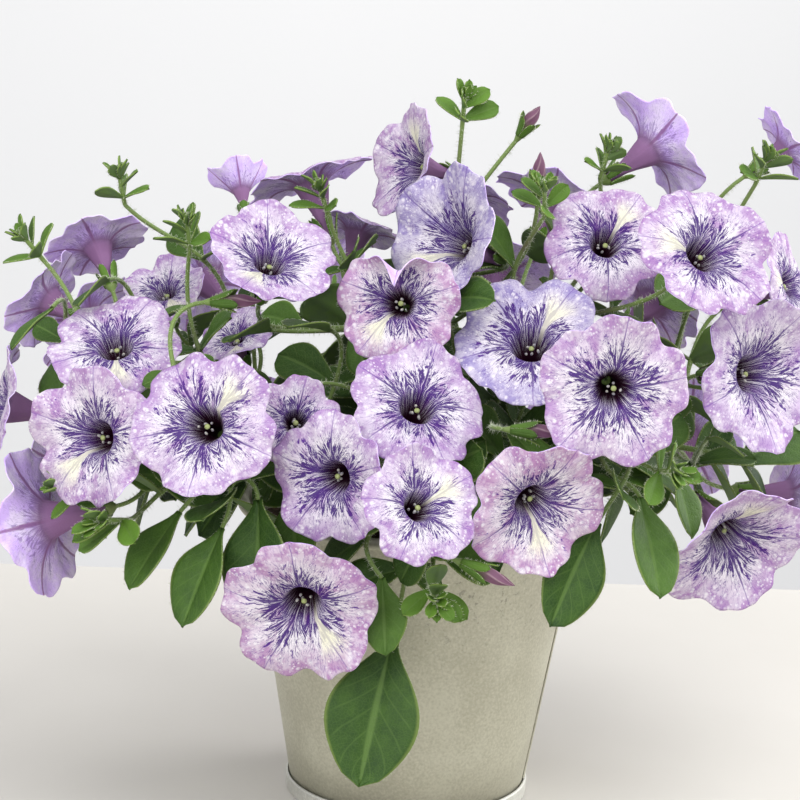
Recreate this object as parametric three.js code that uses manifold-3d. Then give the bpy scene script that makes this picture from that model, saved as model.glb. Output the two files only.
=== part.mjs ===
// A petunia in full bloom in a plain galvanised steel pot.
// Millimetres, +Z up. The pot's axis is Z, its underside lies on z = 0, and the plant's front is -Y.
// The plant is a few leafy shoots, each rooted in the soil, and every open bloom sits in a calyx on a shoot.

import * as THREE from 'three';
import Module from 'manifold-3d';
import { mergeVertices } from 'three/addons/utils/BufferGeometryUtils.js';

const wasm = await Module();
wasm.setup();

// ---- Driving dimensions ----

const POT_HEIGHT = 130;
const POT_BASE_RADIUS = 50;
const POT_TOP_RADIUS = 72;
const POT_WALL = 1.1;
const RIM_BEAD_RADIUS = 2.6;
const FOOT_HEIGHT = 7;
const FOOT_PROUD = 1.5;
const FOOT_ROUND = 1;
const FOOT_LIP = 0.3;
const FLOOR_THICKNESS = 2;
const SEAM_WIDTH = 6;
const SEAM_PROUD = 0.8;
const SEAM_SUNK = 0.8;
const SEAM_TURN = 82;
const FIT_GAP = 0.3;
const SOIL_GAP = 0.5;

const SOIL_EDGE = 116;
const SOIL_CROWN = 123;
const HOLE_DEPTH = 14;
const HOLE_CLEARANCE = 0.8;

const STEM_RADIUS = 1.7;
const STEM_TIP_RADIUS = 1.1;
const STALK_RADIUS = 0.95;

const PETAL_THICKNESS = 0.9;
const LEAF_THICKNESS = 1.1;

// The dome that the outermost blooms lie on.
const DOME_CENTRE = new THREE.Vector3(0, 0, 160);
const DOME_REACH = new THREE.Vector3(172, 128, 108);

// How the plant is seen from the front, for the places that are given as column and row of an
// 800 x 800 picture. The viewer stands a metre away and looks down a little.
const VIEW_TARGET = new THREE.Vector3(-8, 0, 172);
const VIEW_DISTANCE = 1000;
const VIEW_LIFT = THREE.MathUtils.degToRad(11.5);
const VIEW_ROLL = THREE.MathUtils.degToRad(1.9);
const VIEW_FOCAL = 2353;
const VIEW_MIDDLE = 400;

const UP = new THREE.Vector3(0, 0, 1);

// ---- Small helpers ----

function noise(n) {
  const wave = Math.sin(n * 12.9898 + 78.233) * 43758.5453;
  return wave - Math.floor(wave);
}

// A seeded draw from a range.
function drawn([low, high], n) {
  return low + (high - low) * noise(n);
}

// A direction: turn 0 is the front, +90 the right, 180 the back, and lift is the angle above level.
function aim(turn, lift) {
  const t = THREE.MathUtils.degToRad(turn);
  const l = THREE.MathUtils.degToRad(lift);
  return new THREE.Vector3(Math.sin(t) * Math.cos(l), -Math.cos(t) * Math.cos(l), Math.sin(l));
}

// The point at depth y that shows at a column and row of the front picture.
function seenAt(column, row, y) {
  const across = column - VIEW_MIDDLE;
  const above = VIEW_MIDDLE - row;
  const right = (across * Math.cos(VIEW_ROLL) - above * Math.sin(VIEW_ROLL)) / VIEW_FOCAL;
  const rise = (across * Math.sin(VIEW_ROLL) + above * Math.cos(VIEW_ROLL)) / VIEW_FOCAL;
  const viewer = new THREE.Vector3(0, -Math.cos(VIEW_LIFT), Math.sin(VIEW_LIFT));
  const upward = new THREE.Vector3(0, Math.sin(VIEW_LIFT), Math.cos(VIEW_LIFT));
  const eye = VIEW_TARGET.clone().addScaledVector(viewer, VIEW_DISTANCE);
  const ray = viewer.clone().negate().addScaledVector(upward, rise);
  ray.x += right;
  return eye.addScaledVector(ray, (y - eye.y) / ray.y);
}

// Two directions square to an axis, turned about it by a roll.
function squareTo(axis, roll) {
  const side = new THREE.Vector3().crossVectors(UP, axis).normalize();
  const top = new THREE.Vector3().crossVectors(axis, side);
  const first = side.clone().multiplyScalar(Math.cos(roll)).addScaledVector(top, Math.sin(roll));
  const second = new THREE.Vector3().crossVectors(axis, first);
  return [first, second];
}

// ---- Closed solids from rings of points ----

// A side that bulges or dips by less than this volume counts as flat.
const FLAT = 1e-4;

class Shell {
  constructor() {
    this.positions = [];
    this.faces = [];
  }

  add(point) {
    this.positions.push(point.x, point.y, point.z);
    return this.positions.length / 3 - 1;
  }

  ring(points) {
    return points.map((point) => this.add(point));
  }

  // Joins a ring to one with as many points, or twice as many. The second ring lies further along.
  stitch(near, far) {
    const n = near.length;
    for (let i = 0; i < n; i += 1) {
      const a = near[i];
      const b = near[(i + 1) % n];
      if (far.length === n) {
        const c = far[i];
        const d = far[(i + 1) % n];
        this.faces.push([a, b, c], [b, d, c]);
      } else {
        const c = far[2 * i];
        const d = far[2 * i + 1];
        const e = far[(2 * i + 2) % far.length];
        this.faces.push([a, d, c], [a, b, d], [b, e, d]);
      }
    }
  }

  corner(index) {
    return new THREE.Vector3().fromArray(this.positions, 3 * index);
  }

  // Joins two rings of as many points, each side split so that it bulges outwards.
  stitchPlump(near, far) {
    const n = near.length;
    for (let i = 0; i < n; i += 1) {
      const a = near[i];
      const b = near[(i + 1) % n];
      const c = far[i];
      const d = far[(i + 1) % n];
      const [from, first, second, fourth] = [a, b, c, d].map((index) => this.corner(index));
      const out = first.sub(from).cross(second.sub(from));
      if (out.dot(fourth.sub(from)) > -FLAT) {
        this.faces.push([a, b, d], [a, d, c]);
      } else {
        this.faces.push([a, b, c], [b, d, c]);
      }
    }
  }

  fan(tip, ring, forward) {
    for (let i = 0; i < ring.length; i += 1) {
      const a = ring[i];
      const b = ring[(i + 1) % ring.length];
      this.faces.push(forward ? [tip, a, b] : [tip, b, a]);
    }
  }

  cap(ring, forward) {
    for (let i = 1; i < ring.length - 1; i += 1) {
      this.faces.push(forward ? [ring[0], ring[i], ring[i + 1]] : [ring[0], ring[i + 1], ring[i]]);
    }
  }

  solid() {
    return new wasm.Manifold(new wasm.Mesh({
      numProp: 3,
      vertProperties: new Float32Array(this.positions),
      triVerts: new Uint32Array(this.faces.flat()),
    }));
  }

  geometry() {
    const geometry = new THREE.BufferGeometry();
    geometry.setAttribute('position', new THREE.Float32BufferAttribute(this.positions, 3));
    geometry.setIndex(this.faces.flat());
    return geometry;
  }
}

function asSolid(geometry) {
  const bare = geometry.clone();
  bare.deleteAttribute('normal');
  bare.deleteAttribute('uv');
  const merged = mergeVertices(bare, 1e-4);
  return new wasm.Manifold(new wasm.Mesh({
    numProp: 3,
    vertProperties: new Float32Array(merged.attributes.position.array),
    triVerts: new Uint32Array(merged.index.array),
  }));
}

function asGeometry(solid) {
  const mesh = solid.getMesh();
  const geometry = new THREE.BufferGeometry();
  geometry.setAttribute('position', new THREE.Float32BufferAttribute(mesh.vertProperties, 3));
  geometry.setIndex(Array.from(mesh.triVerts));
  return geometry;
}

// Joins pieces that grow from each other into one body.
function fuse(pieces) {
  const joined = pieces.reduce((body, piece) => body.add(piece));
  const bodies = joined.decompose();
  return bodies.reduce((most, body) => (body.volume() > most.volume() ? body : most));
}

// A tapering stem through a line of points, its ends cut square.
function stemSolid(points, radii, sides) {
  const shell = new Shell();
  const rings = [];
  let side = new THREE.Vector3(1, 0.2, 0);
  points.forEach((point, i) => {
    const before = points[Math.max(i - 1, 0)];
    const after = points[Math.min(i + 1, points.length - 1)];
    const along = after.clone().sub(before).normalize();
    side = side.clone().addScaledVector(along, -side.dot(along)).normalize();
    const other = new THREE.Vector3().crossVectors(along, side);
    const ring = [];
    for (let k = 0; k < sides; k += 1) {
      const turn = (2 * Math.PI * k) / sides;
      ring.push(point.clone()
        .addScaledVector(side, radii[i] * Math.cos(turn))
        .addScaledVector(other, radii[i] * Math.sin(turn)));
    }
    rings.push(shell.ring(ring));
  });
  for (let i = 1; i < rings.length; i += 1) {
    shell.stitch(rings[i - 1], rings[i]);
  }
  shell.cap(rings[0], false);
  shell.cap(rings[rings.length - 1], true);
  return shell.solid();
}

// ---- Pot: a tapered wall with a rolled rim and a lapped seam, and a base whose foot ring grips it ----

function potRadius(z) {
  return POT_BASE_RADIUS + ((POT_TOP_RADIUS - POT_BASE_RADIUS) * z) / POT_HEIGHT;
}

const POT_SIDES = 32;

function potWall() {
  const bottom = FLOOR_THICKNESS + FIT_GAP;
  const beadZ = POT_HEIGHT - RIM_BEAD_RADIUS;
  const beadRho = POT_TOP_RADIUS + RIM_BEAD_RADIUS * 0.6;
  const profile = [
    new THREE.Vector2(potRadius(bottom) - POT_WALL, bottom),
    new THREE.Vector2(potRadius(bottom), bottom),
  ];
  for (let degrees = -120; degrees <= 120; degrees += 60) {
    const angle = THREE.MathUtils.degToRad(degrees);
    profile.push(new THREE.Vector2(
      beadRho + RIM_BEAD_RADIUS * Math.cos(angle),
      beadZ + RIM_BEAD_RADIUS * Math.sin(angle),
    ));
  }
  profile.push(new THREE.Vector2(potRadius(beadZ) - POT_WALL, beadZ));
  profile.push(profile[0].clone());
  const wall = new THREE.LatheGeometry(profile, POT_SIDES);
  wall.rotateX(Math.PI / 2);
  return fuse([asSolid(wall), seamStrip()]);
}

// The lapped seam stands proud of the wall from the foot ring to the rim.
function seamStrip() {
  const low = FOOT_HEIGHT + 1;
  const high = POT_HEIGHT - 2 * RIM_BEAD_RADIUS;
  const half = SEAM_WIDTH / 2;
  const shell = new Shell();
  const rings = [low, high].map((z) => shell.ring([
    new THREE.Vector3(potRadius(z) - SEAM_SUNK, -half, z),
    new THREE.Vector3(potRadius(z) + SEAM_PROUD, -half, z),
    new THREE.Vector3(potRadius(z) + SEAM_PROUD, half, z),
    new THREE.Vector3(potRadius(z) - SEAM_SUNK, half, z),
  ]));
  shell.stitch(rings[0], rings[1]);
  shell.cap(rings[0], false);
  shell.cap(rings[1], true);
  return shell.solid().rotate([0, 0, SEAM_TURN - 90]);
}

function potBase() {
  const outer = potRadius(0) + FOOT_PROUD;
  const grip = potRadius(FOOT_HEIGHT) + FIT_GAP;
  const profile = [
    new THREE.Vector2(0, 0),
    new THREE.Vector2(outer, 0),
    new THREE.Vector2(outer + 0.7, FOOT_ROUND),
    new THREE.Vector2(outer + 1.1, FOOT_HEIGHT - FOOT_ROUND),
    new THREE.Vector2(grip + FOOT_LIP, FOOT_HEIGHT),
    new THREE.Vector2(grip, FOOT_HEIGHT - FOOT_LIP),
    new THREE.Vector2(potRadius(FLOOR_THICKNESS) + FIT_GAP, FLOOR_THICKNESS),
    new THREE.Vector2(0, FLOOR_THICKNESS),
  ];
  const base = new THREE.LatheGeometry(profile, POT_SIDES);
  base.rotateX(Math.PI / 2);
  return asSolid(base);
}

// ---- Soil: fills the pot, a little crowned, with a plain hole for each shoot ----

const SOIL_SIDES = 20;
const SOIL_RINGS = [50, 28];
const HOLE_SIDES = 5;

function soilHeight(x, y) {
  const reach = Math.hypot(x, y) / POT_TOP_RADIUS;
  const bumps = Math.sin(x * 0.13 + 1.1) * Math.cos(y * 0.11 + 0.4);
  return SOIL_CROWN - (SOIL_CROWN - SOIL_EDGE) * reach * reach + bumps;
}

function soilBody() {
  const low = FLOOR_THICKNESS + FIT_GAP;
  const gap = POT_WALL + SOIL_GAP;
  const shell = new Shell();
  const round = (rho, heightAt) => {
    const ring = [];
    for (let i = 0; i < SOIL_SIDES; i += 1) {
      const turn = (2 * Math.PI * i) / SOIL_SIDES;
      const x = rho * Math.cos(turn);
      const y = rho * Math.sin(turn);
      ring.push(new THREE.Vector3(x, y, heightAt(x, y)));
    }
    return shell.ring(ring);
  };
  const floor = round(potRadius(low) - gap, () => low);
  const edge = round(potRadius(SOIL_EDGE) - gap, () => SOIL_EDGE);
  const crowns = SOIL_RINGS.map((rho) => round(rho, soilHeight));
  shell.cap(floor, false);
  shell.stitch(floor, edge);
  shell.stitch(edge, crowns[0]);
  shell.stitch(crowns[0], crowns[1]);
  shell.fan(shell.add(new THREE.Vector3(0, 0, soilHeight(0, 0))), crowns[1], true);
  return shell.solid();
}

function soil(roots) {
  const holes = roots.map((root) => {
    const bottom = root.clone().setZ(root.z - FIT_GAP);
    const top = root.clone().setZ(SOIL_CROWN + HOLE_DEPTH);
    const radius = STEM_RADIUS + HOLE_CLEARANCE;
    return stemSolid([bottom, top], [radius, radius], HOLE_SIDES);
  });
  return fuse([holes.reduce((body, hole) => body.subtract(hole), soilBody())]);
}

// ---- Blooms: a narrow tube that flares into a limb of five rounded, ruffled lobes ----

// seen is the throat's column and row, y its depth. turn and lift aim the bloom, radius is the limb's.
// flare is how far the limb leans forward, bend how much its edge rolls back, both in degrees, and
// fold is a lobe that is folded over.
const BLOOMS_SEEN = [
  { on: 'crown_left', seen: [270, 262], y: -70, turn: 18, lift: 50, radius: 23, flare: 34, bend: -10 },
  { on: 'front_left', seen: [115, 345], y: -70, turn: -5, lift: 50, radius: 26, flare: 12, bend: -14 },
  { on: 'front_left', seen: [97, 438], y: -92, turn: -30, lift: 10, radius: 26, flare: 28, bend: -14 },
  { on: 'front_left', seen: [204, 425], y: -108, turn: -12, lift: 20, radius: 28, flare: 16, bend: -12 },
  { on: 'front', seen: [295, 422], y: -88, turn: 4, lift: 22, radius: 18, flare: 12, bend: -10 },
  { on: 'front', seen: [333, 478], y: -107, turn: -26, lift: 2, radius: 24.5, flare: 24, bend: -16 },
  { on: 'front', seen: [418, 406], y: -92, turn: 14, lift: 42, radius: 27, flare: 12, bend: -10 },
  { on: 'front', seen: [420, 506], y: -132, turn: 24, lift: 30, radius: 22, flare: 20, bend: -12 },
  { on: 'front', seen: [302, 606], y: -114, turn: -5, lift: -14, radius: 28, flare: 30, bend: -16 },
  { on: 'front_right', seen: [533, 503], y: -112, turn: 24, lift: -14, radius: 26, flare: 30, bend: -10 },
  { on: 'front_right', seen: [531, 343], y: -63, turn: -2, lift: 44, radius: 30, flare: 18, bend: -14 },
  { on: 'front_right', seen: [614, 390], y: -114, turn: 2, lift: 3, radius: 28.5, flare: 16, bend: -14 },
  { on: 'crown_right', seen: [606, 242], y: -34, turn: 6, lift: 34, radius: 24, flare: 22, bend: -14 },
  { on: 'crown_right', seen: [704, 254], y: -76, turn: 26, lift: 34, radius: 26.5, flare: 26, bend: -14 },
  { on: 'right', seen: [752, 374], y: -58, turn: 38, lift: 11, radius: 29, flare: 34, bend: -12 },
  { on: 'right', seen: [728, 536], y: -68, turn: 26, lift: -22, radius: 28, flare: 36, bend: -16 },
  { on: 'crown_left', seen: [399, 303], y: -72, turn: -8, lift: 14, radius: 24, flare: 18, bend: -14,
    fold: 1 },
  { on: 'crown_left', seen: [458, 244], y: -38, turn: -50, lift: 20, radius: 26, flare: 44, bend: -16 },
  { on: 'crown_left', seen: [416, 166], y: 3, turn: -62, lift: 14, radius: 22, flare: 36, bend: -12 },
  { on: 'crown_left', seen: [358, 232], y: 45, turn: 150, lift: 62, radius: 20, flare: 30, bend: -16 },
  { on: 'back_left', seen: [241, 190], y: 60, turn: -160, lift: 52, radius: 13, flare: 48, bend: -10 },
  { on: 'left', seen: [98, 247], y: 6, turn: -150, lift: 45, radius: 21, flare: 24, bend: -16 },
  { on: 'crown_right', seen: [650, 150], y: 15, turn: 112, lift: 32, radius: 24, flare: 34, bend: -14 },
  { on: 'back_right', seen: [785, 150], y: 40, turn: 100, lift: 34, radius: 19, flare: 26, bend: -12 },
  { on: 'right', seen: [790, 285], y: -10, turn: 60, lift: 22, radius: 22, flare: 14, bend: -12 },
  { on: 'left', seen: [4, 405], y: -40, turn: -74, lift: 14, radius: 26, flare: 22, bend: -16 },
  { on: 'left', seen: [48, 520], y: -60, turn: -102, lift: -16, radius: 28, flare: 30, bend: -18 },
  { on: 'left', seen: [235, 338], y: 12, turn: -30, lift: 52, radius: 16, flare: 20, bend: -10 },
  { on: 'back_left', seen: [165, 292], y: 48, turn: -20, lift: 56, radius: 19, flare: 20, bend: -10 },
  { on: 'left', seen: [48, 300], y: -8, turn: -112, lift: 24, radius: 21, flare: 24, bend: -12 },
];

// The blooms of the far side, by where they lie on the dome: turn round it and rise above level.
const BLOOMS_AROUND = [
  { on: 'right', turn: 104, rise: -16 },
  { on: 'back_right', turn: 128, rise: -10 },
  { on: 'back', turn: 154, rise: -16 },
  { on: 'back', turn: 180, rise: -6 },
  { on: 'back', turn: 206, rise: -16 },
  { on: 'back_left', turn: 232, rise: -10 },
  { on: 'left', turn: 256, rise: -16 },
  { on: 'back_right', turn: 108, rise: 16 },
  { on: 'back_right', turn: 140, rise: 24 },
  { on: 'back', turn: 168, rise: 28 },
  { on: 'back', turn: 194, rise: 30 },
  { on: 'back_left', turn: 222, rise: 26 },
  { on: 'back_left', turn: 246, rise: 18 },
  { on: 'crown_right', turn: 138, rise: 59 },
  { on: 'crown_back', turn: 166, rise: 56 },
  { on: 'crown_back', turn: 226, rise: 68 },
];

// The ranges that a bloom of the far side is drawn from: its aim, and its form as in the table above.
const DRIFT = [-5, 5];
const LIFT_OVER_RISE = [4, 16];
const LIFT_SHARE = 0.8;
const AROUND_RADIUS = [24, 28];
const AROUND_FLARE = [12, 26];
const AROUND_BEND = [-18, -8];

// Fills in a row of the second table like one of the first.
function bloomAround({ on, turn, rise }, index) {
  const seed = (BLOOMS_SEEN.length + index) * 7;
  const turned = turn + drawn(DRIFT, seed + 1);
  return {
    on,
    mouth: DOME_CENTRE.clone().add(aim(turned, rise).multiply(DOME_REACH)),
    turn: turned,
    lift: rise * LIFT_SHARE + drawn(LIFT_OVER_RISE, seed + 2),
    radius: drawn(AROUND_RADIUS, seed + 3),
    flare: drawn(AROUND_FLARE, seed + 4),
    bend: drawn(AROUND_BEND, seed + 5),
  };
}

const ROLL = [-0.5, 0.5];
const LOBE_CURL = [-22, 16];
const FOLDED_CURL = 95;
const TUBE_SHARE = 0.95;
const LOBES = [0, 1, 2, 3, 4];

function bloomFrom(spec, index) {
  const curls = LOBES.map((lobe) => (
    lobe === spec.fold ? FOLDED_CURL : drawn(LOBE_CURL, index * 11 + lobe)
  ));
  const axis = aim(spec.turn, spec.lift);
  const [first, second] = squareTo(axis, drawn(ROLL, index * 7 + 6));
  return {
    name: `bloom_${String(index + 1).padStart(2, '0')}`,
    on: spec.on,
    mouth: spec.mouth ?? seenAt(spec.seen[0], spec.seen[1], spec.y),
    axis,
    first,
    second,
    radius: spec.radius,
    tube: spec.radius * TUBE_SHARE,
    seed: index,
    flare: THREE.MathUtils.degToRad(spec.flare),
    bend: THREE.MathUtils.degToRad(spec.bend),
    curls: curls.map(THREE.MathUtils.degToRad),
  };
}

const LOBE_TURN = (2 * Math.PI) / 5;
const THROAT_SHARE = 0.3;
const NOTCH_DEPTH = 0.13;
const CURL_WIDTH = 0.5;
const EDGE_RIPPLE = 0.02;
const LOBE_RIDGE = 0.03;
const RUFFLE = 0.03;

// A point of the bloom by turn about its axis, distance from it and height along it.
function bloomPoint(bloom, turn, rho, height) {
  return bloom.mouth.clone()
    .addScaledVector(bloom.first, rho * Math.cos(turn))
    .addScaledVector(bloom.second, rho * Math.sin(turn))
    .addScaledVector(bloom.axis, height);
}

// The limb: q runs from 0 at the throat's mouth to 1 at the ruffled edge, and sunk lies behind the face.
function limbPoint(bloom, turn, q, sunk) {
  const notch = Math.pow((1 - Math.cos(5 * turn)) / 2, 5);
  const outline = 1 - NOTCH_DEPTH * notch + EDGE_RIPPLE * Math.sin(11 * turn + bloom.seed);
  const start = THROAT_SHARE * bloom.radius;
  let slope = bloom.flare + bloom.bend * q;
  bloom.curls.forEach((curl, lobe) => {
    const away = Math.abs(turn - lobe * LOBE_TURN) % (2 * Math.PI);
    const near = Math.min(away, 2 * Math.PI - away) / CURL_WIDTH;
    slope += curl * q * Math.exp(-near * near);
  });
  const length = (bloom.radius * outline - start) / Math.cos(bloom.flare);
  const wave = Math.sin(7 * turn + bloom.seed * 1.7) + 0.8 * Math.sin(4 * turn + bloom.seed * 2.3);
  const fold = bloom.radius * (LOBE_RIDGE * q * Math.cos(5 * turn) + RUFFLE * Math.pow(q, 3) * wave);
  const rho = start + length * q * Math.cos(slope) + sunk * Math.sin(slope);
  const height = length * q * Math.sin(slope) + fold - sunk * Math.cos(slope);
  return bloomPoint(bloom, turn, rho, height);
}

function roundRing(count, pointAt) {
  return Array.from({ length: count }, (_, i) => pointAt((2 * Math.PI * i) / count));
}

// Rings of the tube: distance from the axis as a share of the limb's radius, and height likewise.
const TUBE_END = [0.072, -TUBE_SHARE];
const TUBE_WAIST = [0.105, -0.6 * TUBE_SHARE];
const FUNNEL = [0.23, -0.2];
const THROAT = [0.26, -0.05];
const WELL = [0, -0.4];
const LIMB_MIDDLE = 0.5;

function bloomGeometry(bloom) {
  const shell = new Shell();
  const around = (count, [rho, height]) => shell.ring(roundRing(count, (turn) => (
    bloomPoint(bloom, turn, rho * bloom.radius, height * bloom.radius)
  )));
  const limb = (count, q, sunk) => shell.ring(
    roundRing(count, (turn) => limbPoint(bloom, turn, q, sunk)),
  );
  const end = around(5, TUBE_END);
  const waist = around(5, TUBE_WAIST);
  const funnel = around(5, FUNNEL);
  const back = limb(10, LIMB_MIDDLE, PETAL_THICKNESS);
  const edge = limb(20, 1, 0);
  const face = limb(10, LIMB_MIDDLE, 0);
  const throat = around(5, THROAT);
  const [well] = around(1, WELL);
  shell.cap(end, false);
  shell.stitch(end, waist);
  shell.stitch(waist, funnel);
  shell.stitch(funnel, back);
  shell.stitch(back, edge);
  const flip = shell.faces.length;
  shell.stitch(face, edge);
  shell.stitch(throat, face);
  for (let i = flip; i < shell.faces.length; i += 1) {
    shell.faces[i].reverse();
  }
  shell.fan(well, throat, true);
  return shell.geometry();
}

// ---- Keeping clear: what already stands, as balls that a new leaf or stalk stays out of ----

const CELL = 8;
const CLEAR = 1;
const cells = new Map();

function cellKey(i, j, k) {
  return (i * 1000 + j) * 1000 + k;
}

function stand(point, radius, owner) {
  const [i, j, k] = point.toArray().map((value) => Math.floor(value / CELL));
  const key = cellKey(i, j, k);
  cells.set(key, [...(cells.get(key) ?? []), { point, radius, owner }]);
}

function standingNear(point) {
  const [i, j, k] = point.toArray().map((value) => Math.floor(value / CELL));
  const near = [];
  for (let a = i - 1; a <= i + 1; a += 1) {
    for (let b = j - 1; b <= j + 1; b += 1) {
      for (let c = k - 1; c <= k + 1; c += 1) {
        near.push(...(cells.get(cellKey(a, b, c)) ?? []));
      }
    }
  }
  return near;
}

function inPot(point, radius) {
  const reach = Math.hypot(point.x, point.y) - radius;
  return point.z - radius < POT_HEIGHT + CLEAR && reach < potRadius(point.z) + 2 * RIM_BEAD_RADIUS;
}

// Whether a ball meets the pot or anything that stands, other than what belongs to the spared owners.
function meets(point, radius, spared) {
  if (inPot(point, radius)) {
    return true;
  }
  return standingNear(point).some((ball) => {
    const room = ball.radius + radius;
    return !spared.includes(ball.owner) && ball.point.distanceToSquared(point) < room * room;
  });
}

const LIMB_BALL = 3.2;

// Rings of balls over the limb: how far out on it, and how many. Then balls in the tube: height and size.
const LIMB_BALLS = [[0.1, 8], [0.4, 12], [0.7, 18], [1, 25]];
const TUBE_BALLS = [[-0.15, 6], [-0.35, 4.5], [-0.6, 3.4], [-0.8, 3], [-1, 2.6]];

function standBloom(bloom) {
  LIMB_BALLS.forEach(([q, count]) => {
    roundRing(count, (turn) => stand(limbPoint(bloom, turn, q, 0), LIMB_BALL, bloom.name));
  });
  TUBE_BALLS.forEach(([height, radius]) => {
    stand(bloomPoint(bloom, 0, 0, height * bloom.tube), radius, bloom.name);
  });
}

// ---- Shoots: a main stem from the soil, with stalks to the calyces, leaves, buds and leafy tips ----

// Each stem rises from its root and arches outward: reach from the pot's axis and height, pair by pair.
const SHOOTS = [
  { name: 'front', turn: 2, root: 30, line: [[34, 134], [52, 152], [72, 156], [88, 150]] },
  { name: 'front_right', turn: 48, root: 34, line: [[38, 134], [62, 156], [90, 168], [112, 166]] },
  { name: 'right', turn: 78, root: 36, line: [[42, 134], [74, 152], [108, 160], [138, 156]] },
  { name: 'back_right', turn: 116, root: 34, line: [[40, 136], [66, 160], [94, 176], [122, 180]] },
  { name: 'back', turn: 180, root: 32, line: [[36, 134], [56, 152], [76, 160], [92, 158]] },
  { name: 'back_left', turn: 238, root: 34, line: [[40, 134], [62, 156], [90, 170], [116, 172]] },
  { name: 'left', turn: 282, root: 36, line: [[42, 134], [74, 152], [106, 158], [136, 154]] },
  { name: 'front_left', turn: 314, root: 34, line: [[38, 134], [60, 152], [84, 160], [106, 158]] },
  { name: 'crown_left', turn: 300, root: 12, line: [[12, 140], [13, 165], [15, 190], [18, 212]] },
  { name: 'crown_right', turn: 62, root: 15, line: [[18, 140], [30, 165], [44, 190], [56, 212]] },
  { name: 'crown_back', turn: 190, root: 14, line: [[15, 140], [20, 165], [26, 190], [32, 208]] },
];

// Leafy shoot tips and big single leaves, seen from the front like the blooms.
const TIPS = [
  { on: 'front', seen: [430, 585], y: -104, turn: 10, lift: -10, size: 16 },
  { on: 'front_left', seen: [128, 520], y: -92, turn: -40, lift: 10, size: 19 },
  { on: 'left', seen: [88, 495], y: -78, turn: -60, lift: 20, size: 15 },
  { on: 'left', seen: [45, 262], y: -30, turn: -70, lift: 50, size: 15 },
  { on: 'front_left', seen: [190, 250], y: -40, turn: -10, lift: 65, size: 15 },
  { on: 'back_left', seen: [125, 205], y: 10, turn: -40, lift: 75, size: 14 },
  { on: 'crown_left', seen: [462, 128], y: -20, turn: 10, lift: 75, size: 15 },
  { on: 'crown_right', seen: [545, 215], y: -40, turn: -10, lift: 60, size: 14 },
  { on: 'crown_right', seen: [600, 178], y: 0, turn: 40, lift: 70, size: 13 },
  { on: 'back_right', seen: [755, 185], y: 0, turn: 40, lift: 65, size: 16 },
  { on: 'front_right', seen: [655, 470], y: -92, turn: 30, lift: 10, size: 17 },
  { on: 'crown_left', seen: [328, 215], y: -5, turn: -40, lift: 65, size: 14 },
];

const BIG_LEAVES = [
  { on: 'front', seen: [392, 640], y: -98, turn: -28, lift: -62, length: 50, width: 37 },
  { on: 'front_right', seen: [598, 522], y: -92, turn: -30, lift: -48, length: 40, width: 26 },
  { on: 'front_right', seen: [640, 498], y: -84, turn: 20, lift: -50, length: 36, width: 24 },
  { on: 'front_left', seen: [222, 528], y: -92, turn: -30, lift: -55, length: 36, width: 24 },
  { on: 'front_left', seen: [258, 500], y: -88, turn: 5, lift: -66, length: 42, width: 30 },
  { on: 'left', seen: [108, 280], y: -42, turn: -20, lift: -4, length: 26, width: 15 },
  { on: 'left', seen: [52, 308], y: -48, turn: -50, lift: -30, length: 22, width: 14 },
  { on: 'front', seen: [382, 578], y: -104, turn: 10, lift: -60, length: 26, width: 18 },
  { on: 'right', seen: [708, 438], y: -58, turn: 40, lift: 0, length: 20, width: 11 },
  { on: 'front_left', seen: [330, 330], y: -52, turn: -10, lift: 20, length: 30, width: 18 },
  { on: 'front_left', seen: [290, 496], y: -78, turn: 36, lift: -55, length: 32, width: 22 },
  { on: 'front_left', seen: [180, 512], y: -80, turn: -55, lift: -45, length: 32, width: 21 },
  { on: 'front_right', seen: [572, 476], y: -84, turn: 12, lift: -52, length: 36, width: 24 },
  { on: 'front', seen: [318, 384], y: -64, turn: -20, lift: 0, length: 32, width: 22 },
  { on: 'right', seen: [676, 470], y: -70, turn: 40, lift: -50, length: 32, width: 21 },
  { on: 'crown_left', seen: [270, 330], y: -46, turn: -30, lift: 10, length: 30, width: 19 },
  { on: 'front', seen: [446, 300], y: -54, turn: 20, lift: 30, length: 28, width: 18 },
];

const BUDS = [
  { on: 'crown_left', seen: [520, 135], y: -20, turn: 60, lift: 55, length: 15 },
  { on: 'crown_left', seen: [538, 195], y: -30, turn: 0, lift: 80, length: 18 },
  { on: 'left', seen: [32, 245], y: -20, turn: -60, lift: 60, length: 14 },
  { on: 'front_left', seen: [212, 302], y: -74, turn: 80, lift: 5, length: 20 },
  { on: 'front_right', seen: [512, 430], y: -96, turn: 75, lift: 2, length: 20 },
  { on: 'front', seen: [462, 563], y: -117, turn: 75, lift: -18, length: 22 },
];

function rootOf(shoot) {
  const out = aim(shoot.turn, 0);
  const x = out.x * shoot.root;
  const y = out.y * shoot.root;
  return new THREE.Vector3(x, y, soilHeight(x, y) - HOLE_DEPTH);
}

// ---- Growing: a shoot is one closed skin. A leaf or a stalk grows out of a small face of its stem ----

// A direction made square to another.
function squared(side, along) {
  return side.clone().addScaledVector(along, -side.dot(along)).normalize();
}

// A ring of corners round a point, square to the way along, its first corner nearest to the given side.
function cornerRing(point, along, side, radius, sides) {
  const first = squared(side, along);
  const second = new THREE.Vector3().crossVectors(along, first);
  return roundRing(sides, (turn) => point.clone()
    .addScaledVector(first, radius * Math.cos(turn))
    .addScaledVector(second, radius * Math.sin(turn)));
}

function wayAlong(line, i) {
  const before = line[Math.max(i - 1, 0)];
  const after = line[Math.min(i + 1, line.length - 1)];
  return after.clone().sub(before).normalize();
}

// Two rings this far apart make a node, whose faces are where leaves and stalks grow out.
const NODE_LENGTH = 3;

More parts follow.
